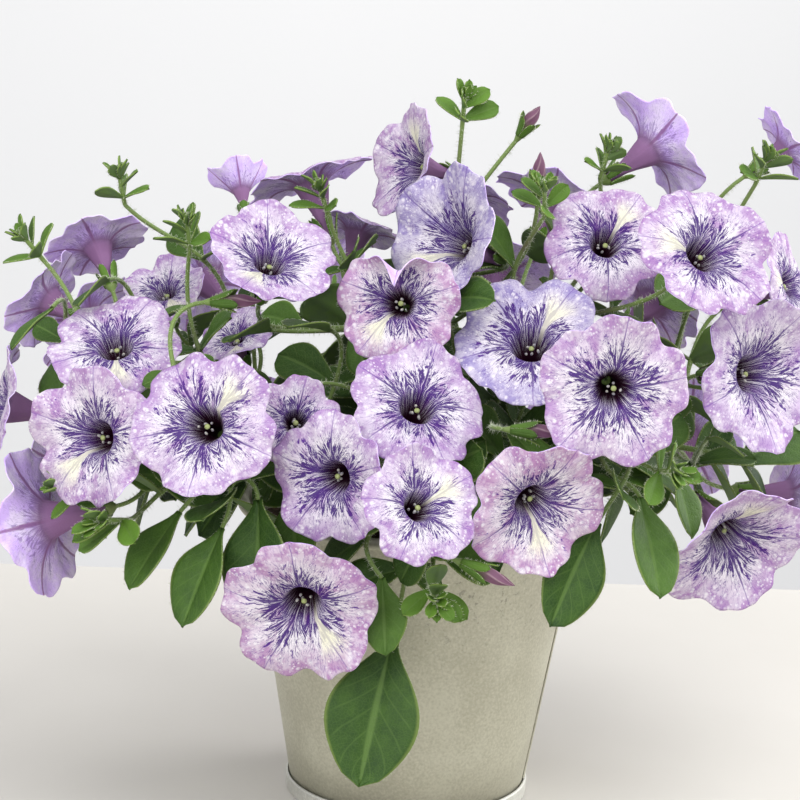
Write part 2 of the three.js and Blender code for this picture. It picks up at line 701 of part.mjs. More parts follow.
// Skins a line of places from the ring before it. A place marked as a node gets two rings.
function growAlong(shoot, before, places, radii, startSide) {
  let ring = before;
  let side = startSide;
  const line = places.map((spot) => spot.point);
  places.forEach((spot, i) => {
    const along = wayAlong(line, i);
    const sides = before.length;
    side = squared(side, along);
    const offsets = spot.node ? [-NODE_LENGTH / 2, NODE_LENGTH / 2] : [0];
    offsets.forEach((offset, step) => {
      const centre = spot.point.clone().addScaledVector(along, offset);
      const next = shoot.skin.ring(cornerRing(centre, along, side, radii[i], sides));
      const start = shoot.skin.faces.length;
      shoot.skin.stitchPlump(ring, next);
      if (step === 1) {
        const corners = cornerRing(spot.point, along, side, radii[i], sides);
        const outs = corners.map((corner, k) => corner.clone().add(corners[(k + 1) % sides]));
        shoot.nodes.push({
          point: spot.point,
          along,
          level: spot.level,
          slots: outs.map((sum, k) => ({
            face: start + 2 * k,
            out: sum.multiplyScalar(0.5).sub(spot.point).normalize(),
          })),
        });
      }
      ring = next;
    });
  });
  return { ring, side };
}

// Opens the free face of a node that looks most along a direction, and gives its three corners.
function openFace(shoot, node, direction) {
  const free = node.slots.filter((slot) => !slot.used);
  if (free.length === 0) {
    return null;
  }
  const slot = free.reduce((best, one) => (
    one.out.dot(direction) > best.out.dot(direction) ? one : best
  ));
  slot.used = true;
  const corners = shoot.skin.faces[slot.face];
  shoot.skin.faces[slot.face] = [];
  return corners;
}

// ---- Main stems ----

const STEM_STEPS = 7;
const STEM_SIDES = 5;
const STEM_SWAY = [-1.5, 1.5];
const STEM_ROOM = 0.8;
const STEM_END = 5;
const COLLAR_RISE = 3;

function stemPlaces(spec) {
  const out = aim(spec.turn, 0);
  const root = rootOf(spec);
  const collar = root.clone().setZ(SOIL_CROWN + COLLAR_RISE);
  const knots = spec.line.map(([reach, height], i) => {
    const sway = (i + 1) * drawn(STEM_SWAY, spec.turn + i);
    return out.clone().multiplyScalar(reach).setZ(height)
      .add(new THREE.Vector3(out.y * sway, -out.x * sway, 0));
  });
  const curve = new THREE.CatmullRomCurve3([collar, ...knots], false, 'centripetal');
  const rising = curve.getSpacedPoints(STEM_STEPS).slice(1);
  return [
    { point: collar },
    ...rising.map((point) => ({ point, node: true, level: 'stem' })),
  ];
}

function growStem(spec) {
  const shoot = { name: `shoot_${spec.name}`, skin: new Shell(), nodes: [] };
  const root = rootOf(spec);
  const places = stemPlaces(spec);
  const radii = places.map((_, i) => (
    STEM_RADIUS + (STEM_TIP_RADIUS - STEM_RADIUS) * (i / (places.length - 1))
  ));
  const side = new THREE.Vector3(0.3, 1, 0);
  const foot = shoot.skin.ring(cornerRing(root, UP, side, STEM_RADIUS, STEM_SIDES));
  shoot.skin.cap(foot, false);
  const last = growAlong(shoot, foot, places, radii, side);
  const end = places[places.length - 1].point;
  const along = end.clone().sub(places[places.length - 2].point).normalize();
  shoot.skin.fan(shoot.skin.add(end.clone().addScaledVector(along, STEM_END)), last.ring, true);
  const line = places.map((spot) => spot.point);
  standAlong(line, STEM_RADIUS + STEM_ROOM, shoot.name);
  return shoot;
}

function standAlong(line, radius, owner) {
  pacedAlong(line, PACE).forEach((place) => stand(place, radius, owner));
}

// ---- Stalks: each leaves a node of the main stem and bends to its end ----

const STALK_STEPS = 4;
const PACE = 3;
const START_ROOM = 6.5;
const END_ROOM = 12;
const STALK_ROOM = 0.6;
const BOWS = [0, 0.16, -0.16, 0.32, -0.32, 0.5, -0.5];
const WAYS_TRIED = 14;
const SHORTEST_RUN = 5;
const SHARPEST_BEND = 1.05;

// How much a stalk leans along its stem and upwards as it leaves, and how firmly it keeps its two ends'
// directions and its bow, as shares of its span.
const LEAN_ALONG = 0.5;
const LEAN_UP = 0.3;
const LEAVE_SHARE = 0.35;
const ARRIVE_SHARE = 0.4;
const LATE_BOW = 0.6;

// The stalk starts out from the stem and arrives at its end along the given direction.
function stalkLine(node, to, arrive, bow) {
  const span = node.point.distanceTo(to);
  const out = squared(to.clone().sub(node.point), node.along);
  const lean = out.addScaledVector(node.along, LEAN_ALONG).addScaledVector(UP, LEAN_UP).normalize();
  const first = node.point.clone()
    .addScaledVector(lean, span * LEAVE_SHARE)
    .addScaledVector(bow, span);
  const second = to.clone()
    .addScaledVector(arrive, -span * ARRIVE_SHARE)
    .addScaledVector(bow, span * LATE_BOW);
  return new THREE.CubicBezierCurve3(node.point, first, second, to).getPoints(STALK_STEPS);
}

// Whether no run of the line is too short and no bend too sharp for its skin.
function isSmooth(line) {
  const runs = line.slice(1).map((point, i) => point.clone().sub(line[i]));
  return runs.every((run, i) => (
    run.length() > SHORTEST_RUN && (i === 0 || run.angleTo(runs[i - 1]) < SHARPEST_BEND)
  ));
}

// Points along a line, no further apart than a step.
function pacedAlong(line, step) {
  return line.slice(1).flatMap((point, i) => {
    const count = Math.ceil(line[i].distanceTo(point) / step);
    return Array.from({ length: count }, (_, k) => line[i].clone().lerp(point, (k + 1) / count));
  });
}

// Whether a stalk along this line is clear. It may touch its own shoot near its start, and its bloom
// near its end.
function isClear(line, owner, own) {
  const end = line[line.length - 1];
  return isSmooth(line) && pacedAlong(line, PACE).every((place) => {
    const spared = [
      place.distanceTo(line[0]) < START_ROOM ? owner : '',
      place.distanceTo(end) < END_ROOM ? own : '',
    ];
    return !meets(place, STALK_RADIUS + CLEAR, spared);
  });
}

// A stalk starts best at a node near this place behind its end and below it.
const BEHIND = 28;
const BELOW = 8;

// A face of a node is fit for a direction that lies in its sector and leans out far enough.
const SECTOR_COSINE = 0.8;
const OUTWARD_COSINE = 0.5;

function hasFaceFor(node, direction) {
  const level = squared(direction, node.along);
  return node.slots.some((slot) => (
    !slot.used && slot.out.dot(level) > SECTOR_COSINE && slot.out.dot(direction) > OUTWARD_COSINE
  ));
}

// Tries the nodes nearest to the stalk's end, and bows of the stalk, until one way is clear.
function findStalk(shoot, to, arrive, own) {
  const aimFor = to.clone().addScaledVector(arrive, -BEHIND).addScaledVector(UP, -BELOW);
  const starts = shoot.nodes
    .filter((node) => node.level === 'stem' && node.slots.some((slot) => !slot.used))
    .map((node) => ({ node, far: node.point.distanceTo(aimFor) }))
    .sort((one, other) => one.far - other.far)
    .slice(0, WAYS_TRIED);
  const side = new THREE.Vector3().crossVectors(arrive, UP).normalize();
  for (const { node } of starts) {
    for (const up of BOWS) {
      for (const across of BOWS) {
        const bow = side.clone().multiplyScalar(across).addScaledVector(UP, up);
        const line = stalkLine(node, to, arrive, bow);
        const leaving = line[1].clone().sub(line[0]).normalize();
        if (hasFaceFor(node, leaving) && isClear(line, shoot.name, own)) {
          return { node, line, leaving };
        }
      }
    }
  }
  return null;
}

// Grows a stalk and gives the ring at its end, with the side that its first corner lies on.
function growStalk(shoot, to, arrive, own) {
  const way = findStalk(shoot, to, arrive, own);
  if (!way) {
    return null;
  }
  const { node, line, leaving } = way;
  const base = openFace(shoot, node, leaving);
  const middle = base.reduce((sum, index) => sum.add(shoot.skin.corner(index)), new THREE.Vector3());
  const side = shoot.skin.corner(base[0]).addScaledVector(middle, -1 / 3);
  const places = line.slice(1).map((point, i) => (
    { point, node: i === 1, level: 'stalk' }
  ));
  const radii = places.map(() => STALK_RADIUS);
  standAlong(line, STALK_RADIUS + STALK_ROOM, shoot.name);
  return growAlong(shoot, base, places, radii, side);
}

// ---- Calyces and buds ----

// Joins a stalk's three corners to a ring of five.
function stitchToFive(skin, three, five) {
  const order = [0, 1, 3];
  three.forEach((a, i) => {
    const b = three[(i + 1) % 3];
    const from = order[i];
    const to = i === 2 ? 5 : order[i + 1];
    for (let k = from; k < to; k += 1) {
      skin.faces.push([a, five[(k + 1) % 5], five[k]]);
    }
    skin.faces.push([a, b, five[to % 5]]);
  });
}

const SEPAL_DEPTH = 1.3;
const SEPAL_REACH = [0.85, 1.15];
const SEPAL_GROWTH = [0.85, 1.1];

// Five narrow sepals round the rim of a small cup. Gives the rim.
function growSepals(shoot, stalk, cup, floor, spread, length, seed) {
  const { skin } = shoot;
  const at = (lobe, rho, height) => skin.add(bloomPoint(cup, lobe * LOBE_TURN, rho, height));
  const outer = LOBES.map((i) => at(i, cup.rim, floor - SEPAL_DEPTH));
  const rim = LOBES.map((i) => at(i - 0.5, cup.rim, floor));
  stitchToFive(skin, stalk.ring, outer);
  outer.forEach((under, i) => {
    const before = outer[(i + 4) % 5];
    const a = rim[i];
    const b = rim[(i + 1) % 5];
    const reach = spread * drawn(SEPAL_REACH, seed * 5 + i);
    const tip = at(i, reach, floor + length * drawn(SEPAL_GROWTH, seed * 5 + i + 0.5));
    skin.faces.push([before, under, a], [a, under, tip], [under, b, tip], [a, tip, b]);
  });
  return rim;
}

// A frame for a calyx whose first sepal stands over the stalk's first corner.
function cupFrame(mouth, axis, side, rim) {
  const first = squared(side, axis);
  const second = new THREE.Vector3().crossVectors(axis, first);
  return { mouth, axis, first, second, rim };
}

const STALK_TO_CUP = 3;
const CUP_SHARE = 0.12;
const SEPAL_SPREAD = 0.25;
const SEPAL_LENGTH = 0.42;

// Grows a calyx on the shoot that is meant to carry the bloom, or on the first that has a clear way to it.
function growCalyx(shoots, bloom) {
  const floor = -bloom.tube - FIT_GAP;
  const seat = bloomPoint(bloom, 0, 0, floor - STALK_TO_CUP);
  const meant = shoots.find((one) => one.name === `shoot_${bloom.on}`);
  const spread = SEPAL_SPREAD * bloom.radius;
  const length = SEPAL_LENGTH * bloom.radius;
  for (const shoot of [meant, ...shoots]) {
    const stalk = growStalk(shoot, seat, bloom.axis, bloom.name);
    if (stalk) {
      const cup = cupFrame(bloom.mouth, bloom.axis, stalk.side, CUP_SHARE * bloom.radius);
      const rim = growSepals(shoot, stalk, cup, floor, spread, length, bloom.seed);
      shoot.skin.cap(rim, true);
      return;
    }
  }
  throw new Error(`${bloom.name} has no clear way to a stem`);
}

// Sizes of a bud. Heights are shares of its length.
const BUD_CUP = 1.7;
const BUD_SWELL = 2.2;
const SWELL_HEIGHT = 0.72;
const BUD_SEPAL_SPREAD = 5;
const BUD_SEPAL_LENGTH = 0.55;
const BUD_BALLS = [0.2, 0.5, 0.9];
const BUD_BALL = 4;

// A closed bud: a slim rolled corolla that stands in its sepals.
function growBud(shoot, spec, index) {
  const foot = seenAt(spec.seen[0], spec.seen[1], spec.y);
  const axis = aim(spec.turn, spec.lift);
  const stalk = growStalk(shoot, foot.clone().addScaledVector(axis, -STALK_TO_CUP), axis, '');
  if (!stalk) {
    return;
  }
  const cup = cupFrame(foot, axis, stalk.side, BUD_CUP);
  const sepalLength = BUD_SEPAL_LENGTH * spec.length;
  const rim = growSepals(shoot, stalk, cup, 0, BUD_SEPAL_SPREAD, sepalLength, 90 + index);
  const widest = bloomPoint(cup, 0, 0, SWELL_HEIGHT * spec.length);
  const side = shoot.skin.corner(rim[0]).sub(foot);
  const swell = shoot.skin.ring(cornerRing(widest, axis, side, BUD_SWELL, 5));
  shoot.skin.stitch(rim, swell);
  shoot.skin.fan(shoot.skin.add(bloomPoint(cup, 0, 0, spec.length)), swell, true);
  BUD_BALLS.forEach((share) => {
    stand(bloomPoint(cup, 0, 0, share * spec.length), BUD_BALL, shoot.name);
  });
}

// ---- Leaves: blades with a keel under the midrib, drooping a little to the tip ----

// One cross-section: how far along the blade, and its half width as a share of the widest.
const SIDE_LEAF_SECTIONS = [[0.34, 0.7], [0.76, 1]];
const BIG_LEAF_SECTIONS = [[0.26, 0.6], [0.58, 1], [0.87, 0.72]];
const SMALL_LEAF = 24;
const DROOP = 0.18;
const SMALL_DROOP = 0.05;

// How far a blade turns from the sky to the outside of the plant, where more light comes from.
const FACES_OUT = 1.2;
const LEAST_TILT = 0.35;

// The direction across a blade.
function leafSide(base, along) {
  const outwards = new THREE.Vector3(base.x, base.y, 0).normalize();
  const light = UP.clone().addScaledVector(outwards, FACES_OUT).normalize();
  const side = new THREE.Vector3().crossVectors(along, light);
  return side.length() > LEAST_TILT ? side.normalize() : side.crossVectors(along, UP).normalize();
}

function leafAt(base, along, length, width) {
  const side = leafSide(base, along);
  const face = new THREE.Vector3().crossVectors(side, along);
  const droop = length < SMALL_LEAF ? SMALL_DROOP : DROOP;
  return { base, along, side, face, length, width, droop, sections: SIDE_LEAF_SECTIONS };
}

function bigLeafAt(base, along, length, width) {
  return { ...leafAt(base, along, length, width), droop: DROOP, sections: BIG_LEAF_SECTIONS };
}

// The midrib's point at share u of the leaf's length.
function ribPoint(leaf, u) {
  return leaf.base.clone()
    .addScaledVector(leaf.along, leaf.length * u)
    .addScaledVector(UP, -leaf.droop * leaf.length * u * u);
}

const LEAF_CUP = 0.12;

function leafCorners(leaf, u, share) {
  const half = (leaf.width / 2) * share;
  const rib = ribPoint(leaf, u);
  const edge = (hand) => rib.clone()
    .addScaledVector(leaf.side, hand * half)
    .addScaledVector(leaf.face, half * LEAF_CUP);
  return [edge(-1), edge(1), rib.clone().addScaledVector(leaf.face, -LEAF_THICKNESS)];
}

// Grows a blade out of three corners of the shoot.
function growBlade(shoot, base, leaf) {
  const rings = leaf.sections.map(([u, share]) => leafCorners(leaf, u, share));
  const from = base.map((index) => shoot.skin.corner(index));
  const twist = [0, 1, 2].map((shift) => ({
    shift,
    far: from.reduce((sum, corner, i) => sum + corner.distanceTo(rings[0][(i + shift) % 3]), 0),
  })).sort((one, other) => one.far - other.far)[0].shift;
  let ring = base;
  rings.forEach((corners) => {
    const turned = [0, 1, 2].map((i) => corners[(i + twist) % 3]);
    const next = shoot.skin.ring(turned);
    shoot.skin.stitchPlump(ring, next);
    ring = next;
  });
  shoot.skin.fan(shoot.skin.add(ribPoint(leaf, 1)), ring, true);
}

const LEAF_BALL = 1.65;
const LEAF_PACE = 4.5;
const LEAF_NECK = 0.15;

// The blade's half width at share u of its length.
function halfWidth(leaf, u) {
  const outline = [[0, LEAF_NECK], ...leaf.sections, [1, 0]];
  const next = outline.findIndex(([end]) => end >= u);
  const [u0, share0] = outline[next - 1];
  const [u1, share1] = outline[next];
  return (leaf.width / 2) * (share0 + ((share1 - share0) * (u - u0)) / (u1 - u0));
}

// The balls that stand for a leaf, in rows across the blade from its neck to its tip.
function leafBalls(leaf) {
  const rows = Math.ceil(leaf.length / LEAF_PACE);
  return Array.from({ length: rows }, (_, i) => (i + 1) / rows).flatMap((u) => {
    const half = halfWidth(leaf, u);
    const steps = Math.ceil(half / LEAF_PACE);
    return Array.from({ length: 2 * steps + 1 }, (_, k) => {
      const across = steps > 0 ? (half * (k - steps)) / steps : 0;
      return ribPoint(leaf, u)
        .addScaledVector(leaf.side, across)
        .addScaledVector(leaf.face, Math.abs(across) * LEAF_CUP);
    });
  });
}

function leafIsClear(leaf) {
  return !leafBalls(leaf).some((ball) => meets(ball, LEAF_BALL, []));
}

function standLeaf(shoot, leaf) {
  leafBalls(leaf).forEach((ball) => stand(ball, LEAF_BALL, shoot.name));
}

const LEAF_TURNS = [0, 12, -12, 24, -24];
const LEAF_LIFTS = [0, -12, 12];

// A big leaf hangs at the end of a stalk of its own. It is turned and shortened until it is clear.
function growBigLeaf(shoot, spec) {
  const base = seenAt(spec.seen[0], spec.seen[1], spec.y);
  const ways = LEAF_SIZES.flatMap((size) => LEAF_LIFTS.flatMap((lift) => LEAF_TURNS.map((turn) => (
    bigLeafAt(base, aim(spec.turn + turn, spec.lift + lift), size * spec.length, size * spec.width)
  ))));
  for (const leaf of ways.filter(leafIsClear)) {
    const stalk = growStalk(shoot, base, leaf.along, '');
    if (stalk) {
      growBlade(shoot, stalk.ring, leaf);
      standLeaf(shoot, leaf);
      return;
    }
  }
}

// The nodes of a leafy tip, and how its leaves spread and shrink from the lower ones to the upper.
const TIP_NODES = [3.5, 8.5, 13];
const TIP_SPREAD = 1.2;
const CLOSER_BY_NODE = 0.3;
const CLOSER_BY_LEAF = 0.08;
const TIP_LEAF = 1.1;
const SHORTER_BY_NODE = 0.2;
const SHORTER_BY_LEAF = 0.06;
const TIP_LEAF_WIDTH = 0.5;
const HEART = 0.5;

// A leafy tip: small leaves grow out of the last nodes of a stalk, the lower ones spreading more.
function growTip(shoot, spec) {
  const end = seenAt(spec.seen[0], spec.seen[1], spec.y);
  const axis = aim(spec.turn, spec.lift);
  const stalk = growStalk(shoot, end, axis, '');
  if (!stalk) {
    return;
  }
  const places = TIP_NODES.map((step) => (
    { point: end.clone().addScaledVector(axis, step), node: true, level: 'tip' }
  ));
  const known = shoot.nodes.length;
  const radii = places.map(() => STALK_RADIUS);
  const { ring } = growAlong(shoot, stalk.ring, places, radii, stalk.side);
  shoot.nodes.slice(known).forEach((node, tier) => {
    node.slots.forEach((slot, i) => {
      const spread = TIP_SPREAD - CLOSER_BY_NODE * tier - CLOSER_BY_LEAF * i;
      const along = axis.clone().multiplyScalar(Math.cos(spread))
        .addScaledVector(slot.out, Math.sin(spread));
      const length = spec.size * (TIP_LEAF - SHORTER_BY_NODE * tier - SHORTER_BY_LEAF * i);
      const leaf = leafAt(node.point, along, length, length * TIP_LEAF_WIDTH);
      if (leafIsClear(leaf)) {
        growBlade(shoot, openFace(shoot, node, slot.out), leaf);
        standLeaf(shoot, leaf);
      }
    });
  });
  const heart = end.clone().addScaledVector(axis, TIP_NODES.at(-1) + HEART * spec.size);
  shoot.skin.fan(shoot.skin.add(heart), ring, true);
}

const LEAF_LEANS = [0.35, 0.7, 0, 1.1];
const LEAF_SWINGS = [0, 0.35, -0.35];
const LEAF_SIZES = [1, 0.75, 0.55];
const LEAF_WIDTH = [0.6, 0.74];
const STEEPEST = 0.9;

// Tries the node's free faces, and leans, swings and sizes of the leaf, until it is clear of all else.
function growSideLeaf(shoot, node, longest, seed) {
  const free = node.slots.filter((slot) => !slot.used);
  const start = Math.floor(free.length * noise(seed));
  for (const size of LEAF_SIZES) {
    for (const lean of LEAF_LEANS) {
      for (const swing of LEAF_SWINGS) {
        for (let k = 0; k < free.length; k += 1) {
          const slot = free[(start + k) % free.length];
          const across = new THREE.Vector3().crossVectors(node.along, slot.out);
          const along = slot.out.clone()
            .addScaledVector(node.along, lean)
            .addScaledVector(across, swing)
            .normalize();
          const length = longest * size;
          const width = length * drawn(LEAF_WIDTH, seed + 0.5);
          const leaf = leafAt(node.point, along, length, width);
          if (Math.abs(along.z) < STEEPEST && leafIsClear(leaf)) {
            growBlade(shoot, openFace(shoot, node, slot.out), leaf);
            standLeaf(shoot, leaf);
            return;
          }
        }
      }
    }
  }
}

const LEAVES_AT_NODE = 3;
const STEM_LEAF = 38;
const STALK_LEAF = 29;
const STALK_LEAF_SHARE = 0.82;
const LEAF_GROWTH = [0.8, 1.15];

function wantsLeaf(node, seed) {
  return node.level === 'stem' || (node.level === 'stalk' && noise(seed + 0.3) < STALK_LEAF_SHARE);
}

function growShoots(blooms) {
  const shoots = SHOOTS.map(growStem);
  const on = (spec) => shoots.find((shoot) => shoot.name === `shoot_${spec.on}`);
  blooms.forEach((bloom) => growCalyx(shoots, bloom));
  BIG_LEAVES.forEach((spec) => growBigLeaf(on(spec), spec));
  BUDS.forEach((spec, index) => growBud(on(spec), spec, index));
  TIPS.forEach((spec) => growTip(on(spec), spec));
  shoots.forEach((shoot, index) => {
    for (let round = 0; round < LEAVES_AT_NODE; round += 1) {
      shoot.nodes.forEach((node, i) => {
        const seed = 1000 * round + 60 * index + i;
        const longest = node.level === 'stem' ? STEM_LEAF : STALK_LEAF;
        if (wantsLeaf(node, seed)) {
          growSideLeaf(shoot, node, longest * drawn(LEAF_GROWTH, seed), seed);
        }
      });
    }
  });
  return shoots;
}

// ---- Assembly ----

const group = new THREE.Group();

function place(name, geometry, color, roughness, metalness) {
  const material = new THREE.MeshStandardMaterial({ color, roughness, metalness });
  const mesh = new THREE.Mesh(geometry, material);
  mesh.name = name;
  group.add(mesh);
}

const blooms = [...BLOOMS_SEEN, ...BLOOMS_AROUND.map(bloomAround)].map(bloomFrom);
blooms.forEach(standBloom);
const shoots = growShoots(blooms);

place('pot_wall', asGeometry(potWall()), '#afac9f', 0.5, 0.8);
place('pot_base', asGeometry(potBase()), '#83847f', 0.5, 0.8);
place('soil', asGeometry(soil(SHOOTS.map(rootOf))), '#4a3626', 0.95, 0);
shoots.forEach((shoot) => place(shoot.name, shoot.skin.geometry(), '#4c7a34', 0.7, 0));
blooms.forEach((bloom) => place(bloom.name, bloomGeometry(bloom), '#c6a5d6', 0.6, 0));

export default group;
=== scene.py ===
"""A petunia in full bloom in a plain galvanised steel pot: camera and setting, pot, soil, blooms, leafy shoots."""
import itertools
from math import acos, ceil, cos, exp, floor, hypot, pi, radians, sin, sqrt, tau
from types import SimpleNamespace as Thing

import bmesh
import bpy
from mathutils import Matrix, Vector


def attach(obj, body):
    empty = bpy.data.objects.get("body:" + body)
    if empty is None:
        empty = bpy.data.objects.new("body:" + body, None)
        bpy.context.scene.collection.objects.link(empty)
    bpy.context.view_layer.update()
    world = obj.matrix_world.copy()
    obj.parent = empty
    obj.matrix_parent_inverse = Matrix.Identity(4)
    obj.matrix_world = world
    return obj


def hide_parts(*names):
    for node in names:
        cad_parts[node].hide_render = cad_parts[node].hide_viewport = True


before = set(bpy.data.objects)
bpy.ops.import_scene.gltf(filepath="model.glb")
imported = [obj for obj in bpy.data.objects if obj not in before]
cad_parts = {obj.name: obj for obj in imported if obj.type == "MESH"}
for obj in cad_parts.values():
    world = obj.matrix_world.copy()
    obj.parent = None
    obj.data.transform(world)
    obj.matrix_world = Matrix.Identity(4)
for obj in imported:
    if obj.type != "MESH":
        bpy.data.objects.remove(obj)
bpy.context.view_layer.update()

# ---- Camera: a metre from the plant, looking down a little, with the pot leaning slightly in the picture. ----
# The lens and the picture's width in pixels also place what is given by column and row of the picture.

MM = 0.001
TARGET = (-8.0, 0.0, 172.0)
DISTANCE = 1000.0
LOOK_DOWN = radians(11.5)
ROLL = radians(1.9)
FOCAL_PIXELS = 2353.0
PICTURE_PIXELS = 800.0
SENSOR = 36.0

viewer = Vector((0.0, -cos(LOOK_DOWN), sin(LOOK_DOWN)))
rightward = Vector((1.0, 0.0, 0.0))
upward = viewer.cross(rightward)
picture_x = rightward * cos(ROLL) + upward * sin(ROLL)
picture_y = upward * cos(ROLL) - rightward * sin(ROLL)
scene = bpy.context.scene


def added(name, data):
    made = bpy.data.objects.new(name, data)
    scene.collection.objects.link(made)
    return made


lens = bpy.data.cameras.new("camera")
lens.sensor_width = SENSOR
lens.lens = FOCAL_PIXELS / PICTURE_PIXELS * SENSOR
camera = added("camera", lens)
facing = Matrix((picture_x, picture_y, viewer)).transposed().to_4x4()
camera.matrix_world = Matrix.Translation((Vector(TARGET) + viewer * DISTANCE) * MM) @ facing
scene.camera = camera
scene.view_settings.view_transform = "Standard"
scene.view_settings.look = "None"

# ---- Setting: a pale matt table top, and far behind it a white wall, under large soft lamps. ----
# The table ends a little behind the pot, so that its edge shows low in the picture.

TABLE_HALF_WIDTH, TABLE_FRONT, TABLE_BACK = 4, -5, 0.333
WALL_HALF_WIDTH, WALL_FOOT, WALL_TOP, WALL_AT = 6, -3, 5, 2.6
TABLE_COLOURS = ((0.565, 0.54, 0.5, 1), (0.63, 0.605, 0.565, 1))
WALL_COLOURS = ((0.79, 0.78, 0.77, 1), (0.815, 0.805, 0.795, 1))
SKY_COLOUR = (0.95, 0.97, 1.0, 1)
SKY_STRENGTH = 0.8
LAMPS = (
    ("overhead", (0.55, -0.85, 1.5), 1.2, 17, (0, 0, 0.12)),
    ("left_fill", (-0.6, -1.1, 0.75), 1.2, 9.5, (-0.1, -0.1, 0.0)),
    ("right_edge", (1.1, 0.35, 0.45), 0.7, 9, (0, 0, 0.1)),
    ("wall_wash", (0.0, 1.3, 1.6), 1.2, 14, (0, WALL_AT, -0.2)),
)


class Value:
    """A number, place or colour in a material, with the arithmetic that Math nodes do."""

    def __init__(self, paint, socket):
        self.paint, self.socket = paint, socket

    def __add__(self, other):
        return self.paint.sum("ADD", self, other)

    def __sub__(self, other):
        return self.paint.sum("SUBTRACT", self, other)

    def __mul__(self, other):
        return self.paint.sum("MULTIPLY", self, other)

    def __truediv__(self, other):
        return self.paint.sum("DIVIDE", self, other)

    def __pow__(self, other):
        return self.paint.sum("POWER", self, other)

    def __abs__(self):
        return self.paint.sum("ABSOLUTE", self)


class Paint:
    """A material under construction: short ways to make and join its nodes."""

    def __init__(self, name):
        self.material = bpy.data.materials.new(name)
        self.material.use_nodes = True
        self.tree = self.material.node_tree

    def put(self, socket, value):
        if isinstance(value, Value):
            self.tree.links.new(value.socket, socket)
        else:
            socket.default_value = value

    def node(self, kind, inputs=(), output=0, **settings):
        made = self.tree.nodes.new("ShaderNode" + kind)
        for name, value in settings.items():
            setattr(made, name, value)
        for name, value in dict(inputs).items():
            self.put(made.inputs[name], value)
        return Value(self, made.outputs[output])

    def sum(self, operation, *values, clamp=False):
        return self.node("Math", enumerate(values), operation=operation, use_clamp=clamp)

    def place(self):
        return self.node("TexCoord", output="Object")

    def attribute(self, name):
        return self.node("Attribute", output="Fac", attribute_name=name)

    def parts(self, place):
        return [self.node("SeparateXYZ", {0: place}, axis) for axis in range(3)]

    def corners(self):
        """The place on the piece's own UV map: across and along."""
        return self.parts(self.node("UVMap"))[:2]

    def noise(self, scale, detail=3.0, roughness=0.55, distortion=0.0, place=None):
        inputs = {"Vector": place or self.place(), "Scale": scale, "Detail": detail, "Roughness": roughness,
                  "Distortion": distortion}
        return self.node("TexNoise", inputs, "Fac")

    def cells(self, scale, feature="F1"):
        return self.node("TexVoronoi", {"Vector": self.place(), "Scale": scale}, "Distance", feature=feature)

    def ramp(self, value, low, high, to_low=0.0, to_high=1.0):
        ends = enumerate((value, low, high, to_low, to_high))
        return self.node("MapRange", ends, interpolation_type="SMOOTHSTEP")

    def mix(self, share, first, second):
        return self.node("Mix", {0: share, 6: first, 7: second}, 2, data_type="RGBA")

    def finished(self, colour, roughness, relief=None, strength=0.0, depth=0.0, others=()):
        """Joins colour, roughness and other inputs to the shader, and roughens it by a relief so many metres deep."""
        shader = self.tree.nodes["Principled BSDF"]
        for name, value in {"Base Color": colour, "Roughness": roughness, **dict(others)}.items():
            self.put(shader.inputs[name], value)
        if relief:
            self.put(shader.inputs["Normal"], self.node(
                "Bump", {"Height": relief, "Strength": strength, "Distance": depth}))
        return self.material


def matt(name, colours, grain):
    paint = Paint(name)
    mottle = paint.noise(grain, 4)
    roughness = paint.ramp(mottle, 0, 1, 0.75, 0.9)
    return paint.finished(paint.mix(mottle, *colours), roughness, paint.noise(grain * 30), 0.1, 0.0005)


def panel(name, half_width, edges, material):
    """A flat sheet between a near and a far edge, each given by its y and z."""
    (y0, z0), (y1, z1) = edges
    corners = [(-half_width, y0, z0), (half_width, y0, z0), (half_width, y1, z1), (-half_width, y1, z1)]
    mesh = bpy.data.meshes.new(name)
    mesh.from_pydata(corners, [], [(0, 1, 2, 3)])
    mesh.materials.append(material)
    added(name, mesh)


def lamp(name, place, size, power, aimed_at):
    light = bpy.data.lights.new(name, "AREA")
    light.shape = "DISK"
    light.size = size
    light.energy = power
    piece = added(name, light)
    piece.location = place
    piece.rotation_euler = (Vector(place) - Vector(aimed_at)).to_track_quat("Z", "Y").to_euler()


panel("table_top", TABLE_HALF_WIDTH, ((TABLE_FRONT, 0), (TABLE_BACK, 0)), matt("table_top", TABLE_COLOURS, 6))
panel("wall", WALL_HALF_WIDTH, ((WALL_AT, WALL_FOOT), (WALL_AT, WALL_TOP)), matt("wall", WALL_COLOURS, 2))
for name, place, size, power, aimed_at in LAMPS:
    lamp(name, place, size, power, aimed_at)
world = bpy.data.worlds.new("world")
world.use_nodes = True
sky = world.node_tree.nodes["Background"].inputs
sky["Color"].default_value = SKY_COLOUR
sky["Strength"].default_value = SKY_STRENGTH
scene.world = world

# ---- Pot wall: galvanised sheet rolled into a taper, its long edges lapped at the right, the rim rolled ----
# outwards over a wire. The zinc is matt and finely grained, with cloudy patches and a soft sheen.

POT_HEIGHT = 130.0
POT_BASE_RADIUS = 50.0
POT_TOP_RADIUS = 72.0
POT_WALL = 1.1
RIM_BEAD_RADIUS = 2.6
FLOOR_THICKNESS = 2.0
FIT_GAP = 0.3
FOOT_HEIGHT = 7.0
SEAM_TURN = 82.0
SEAM_WIDTH = 6.0
SEAM_PROUD = 0.8
SEAM_LIP, SEAM_SUNK = 0.3, 0.4
SPIN_STEPS = 160
WALL_ROWS = (30, 60, 90, 118)
ZINC_LIGHT = (0.57, 0.555, 0.445, 1)
ZINC_DARK = (0.43, 0.415, 0.32, 1)
ZINC_SPECK = (0.16, 0.15, 0.135, 1)


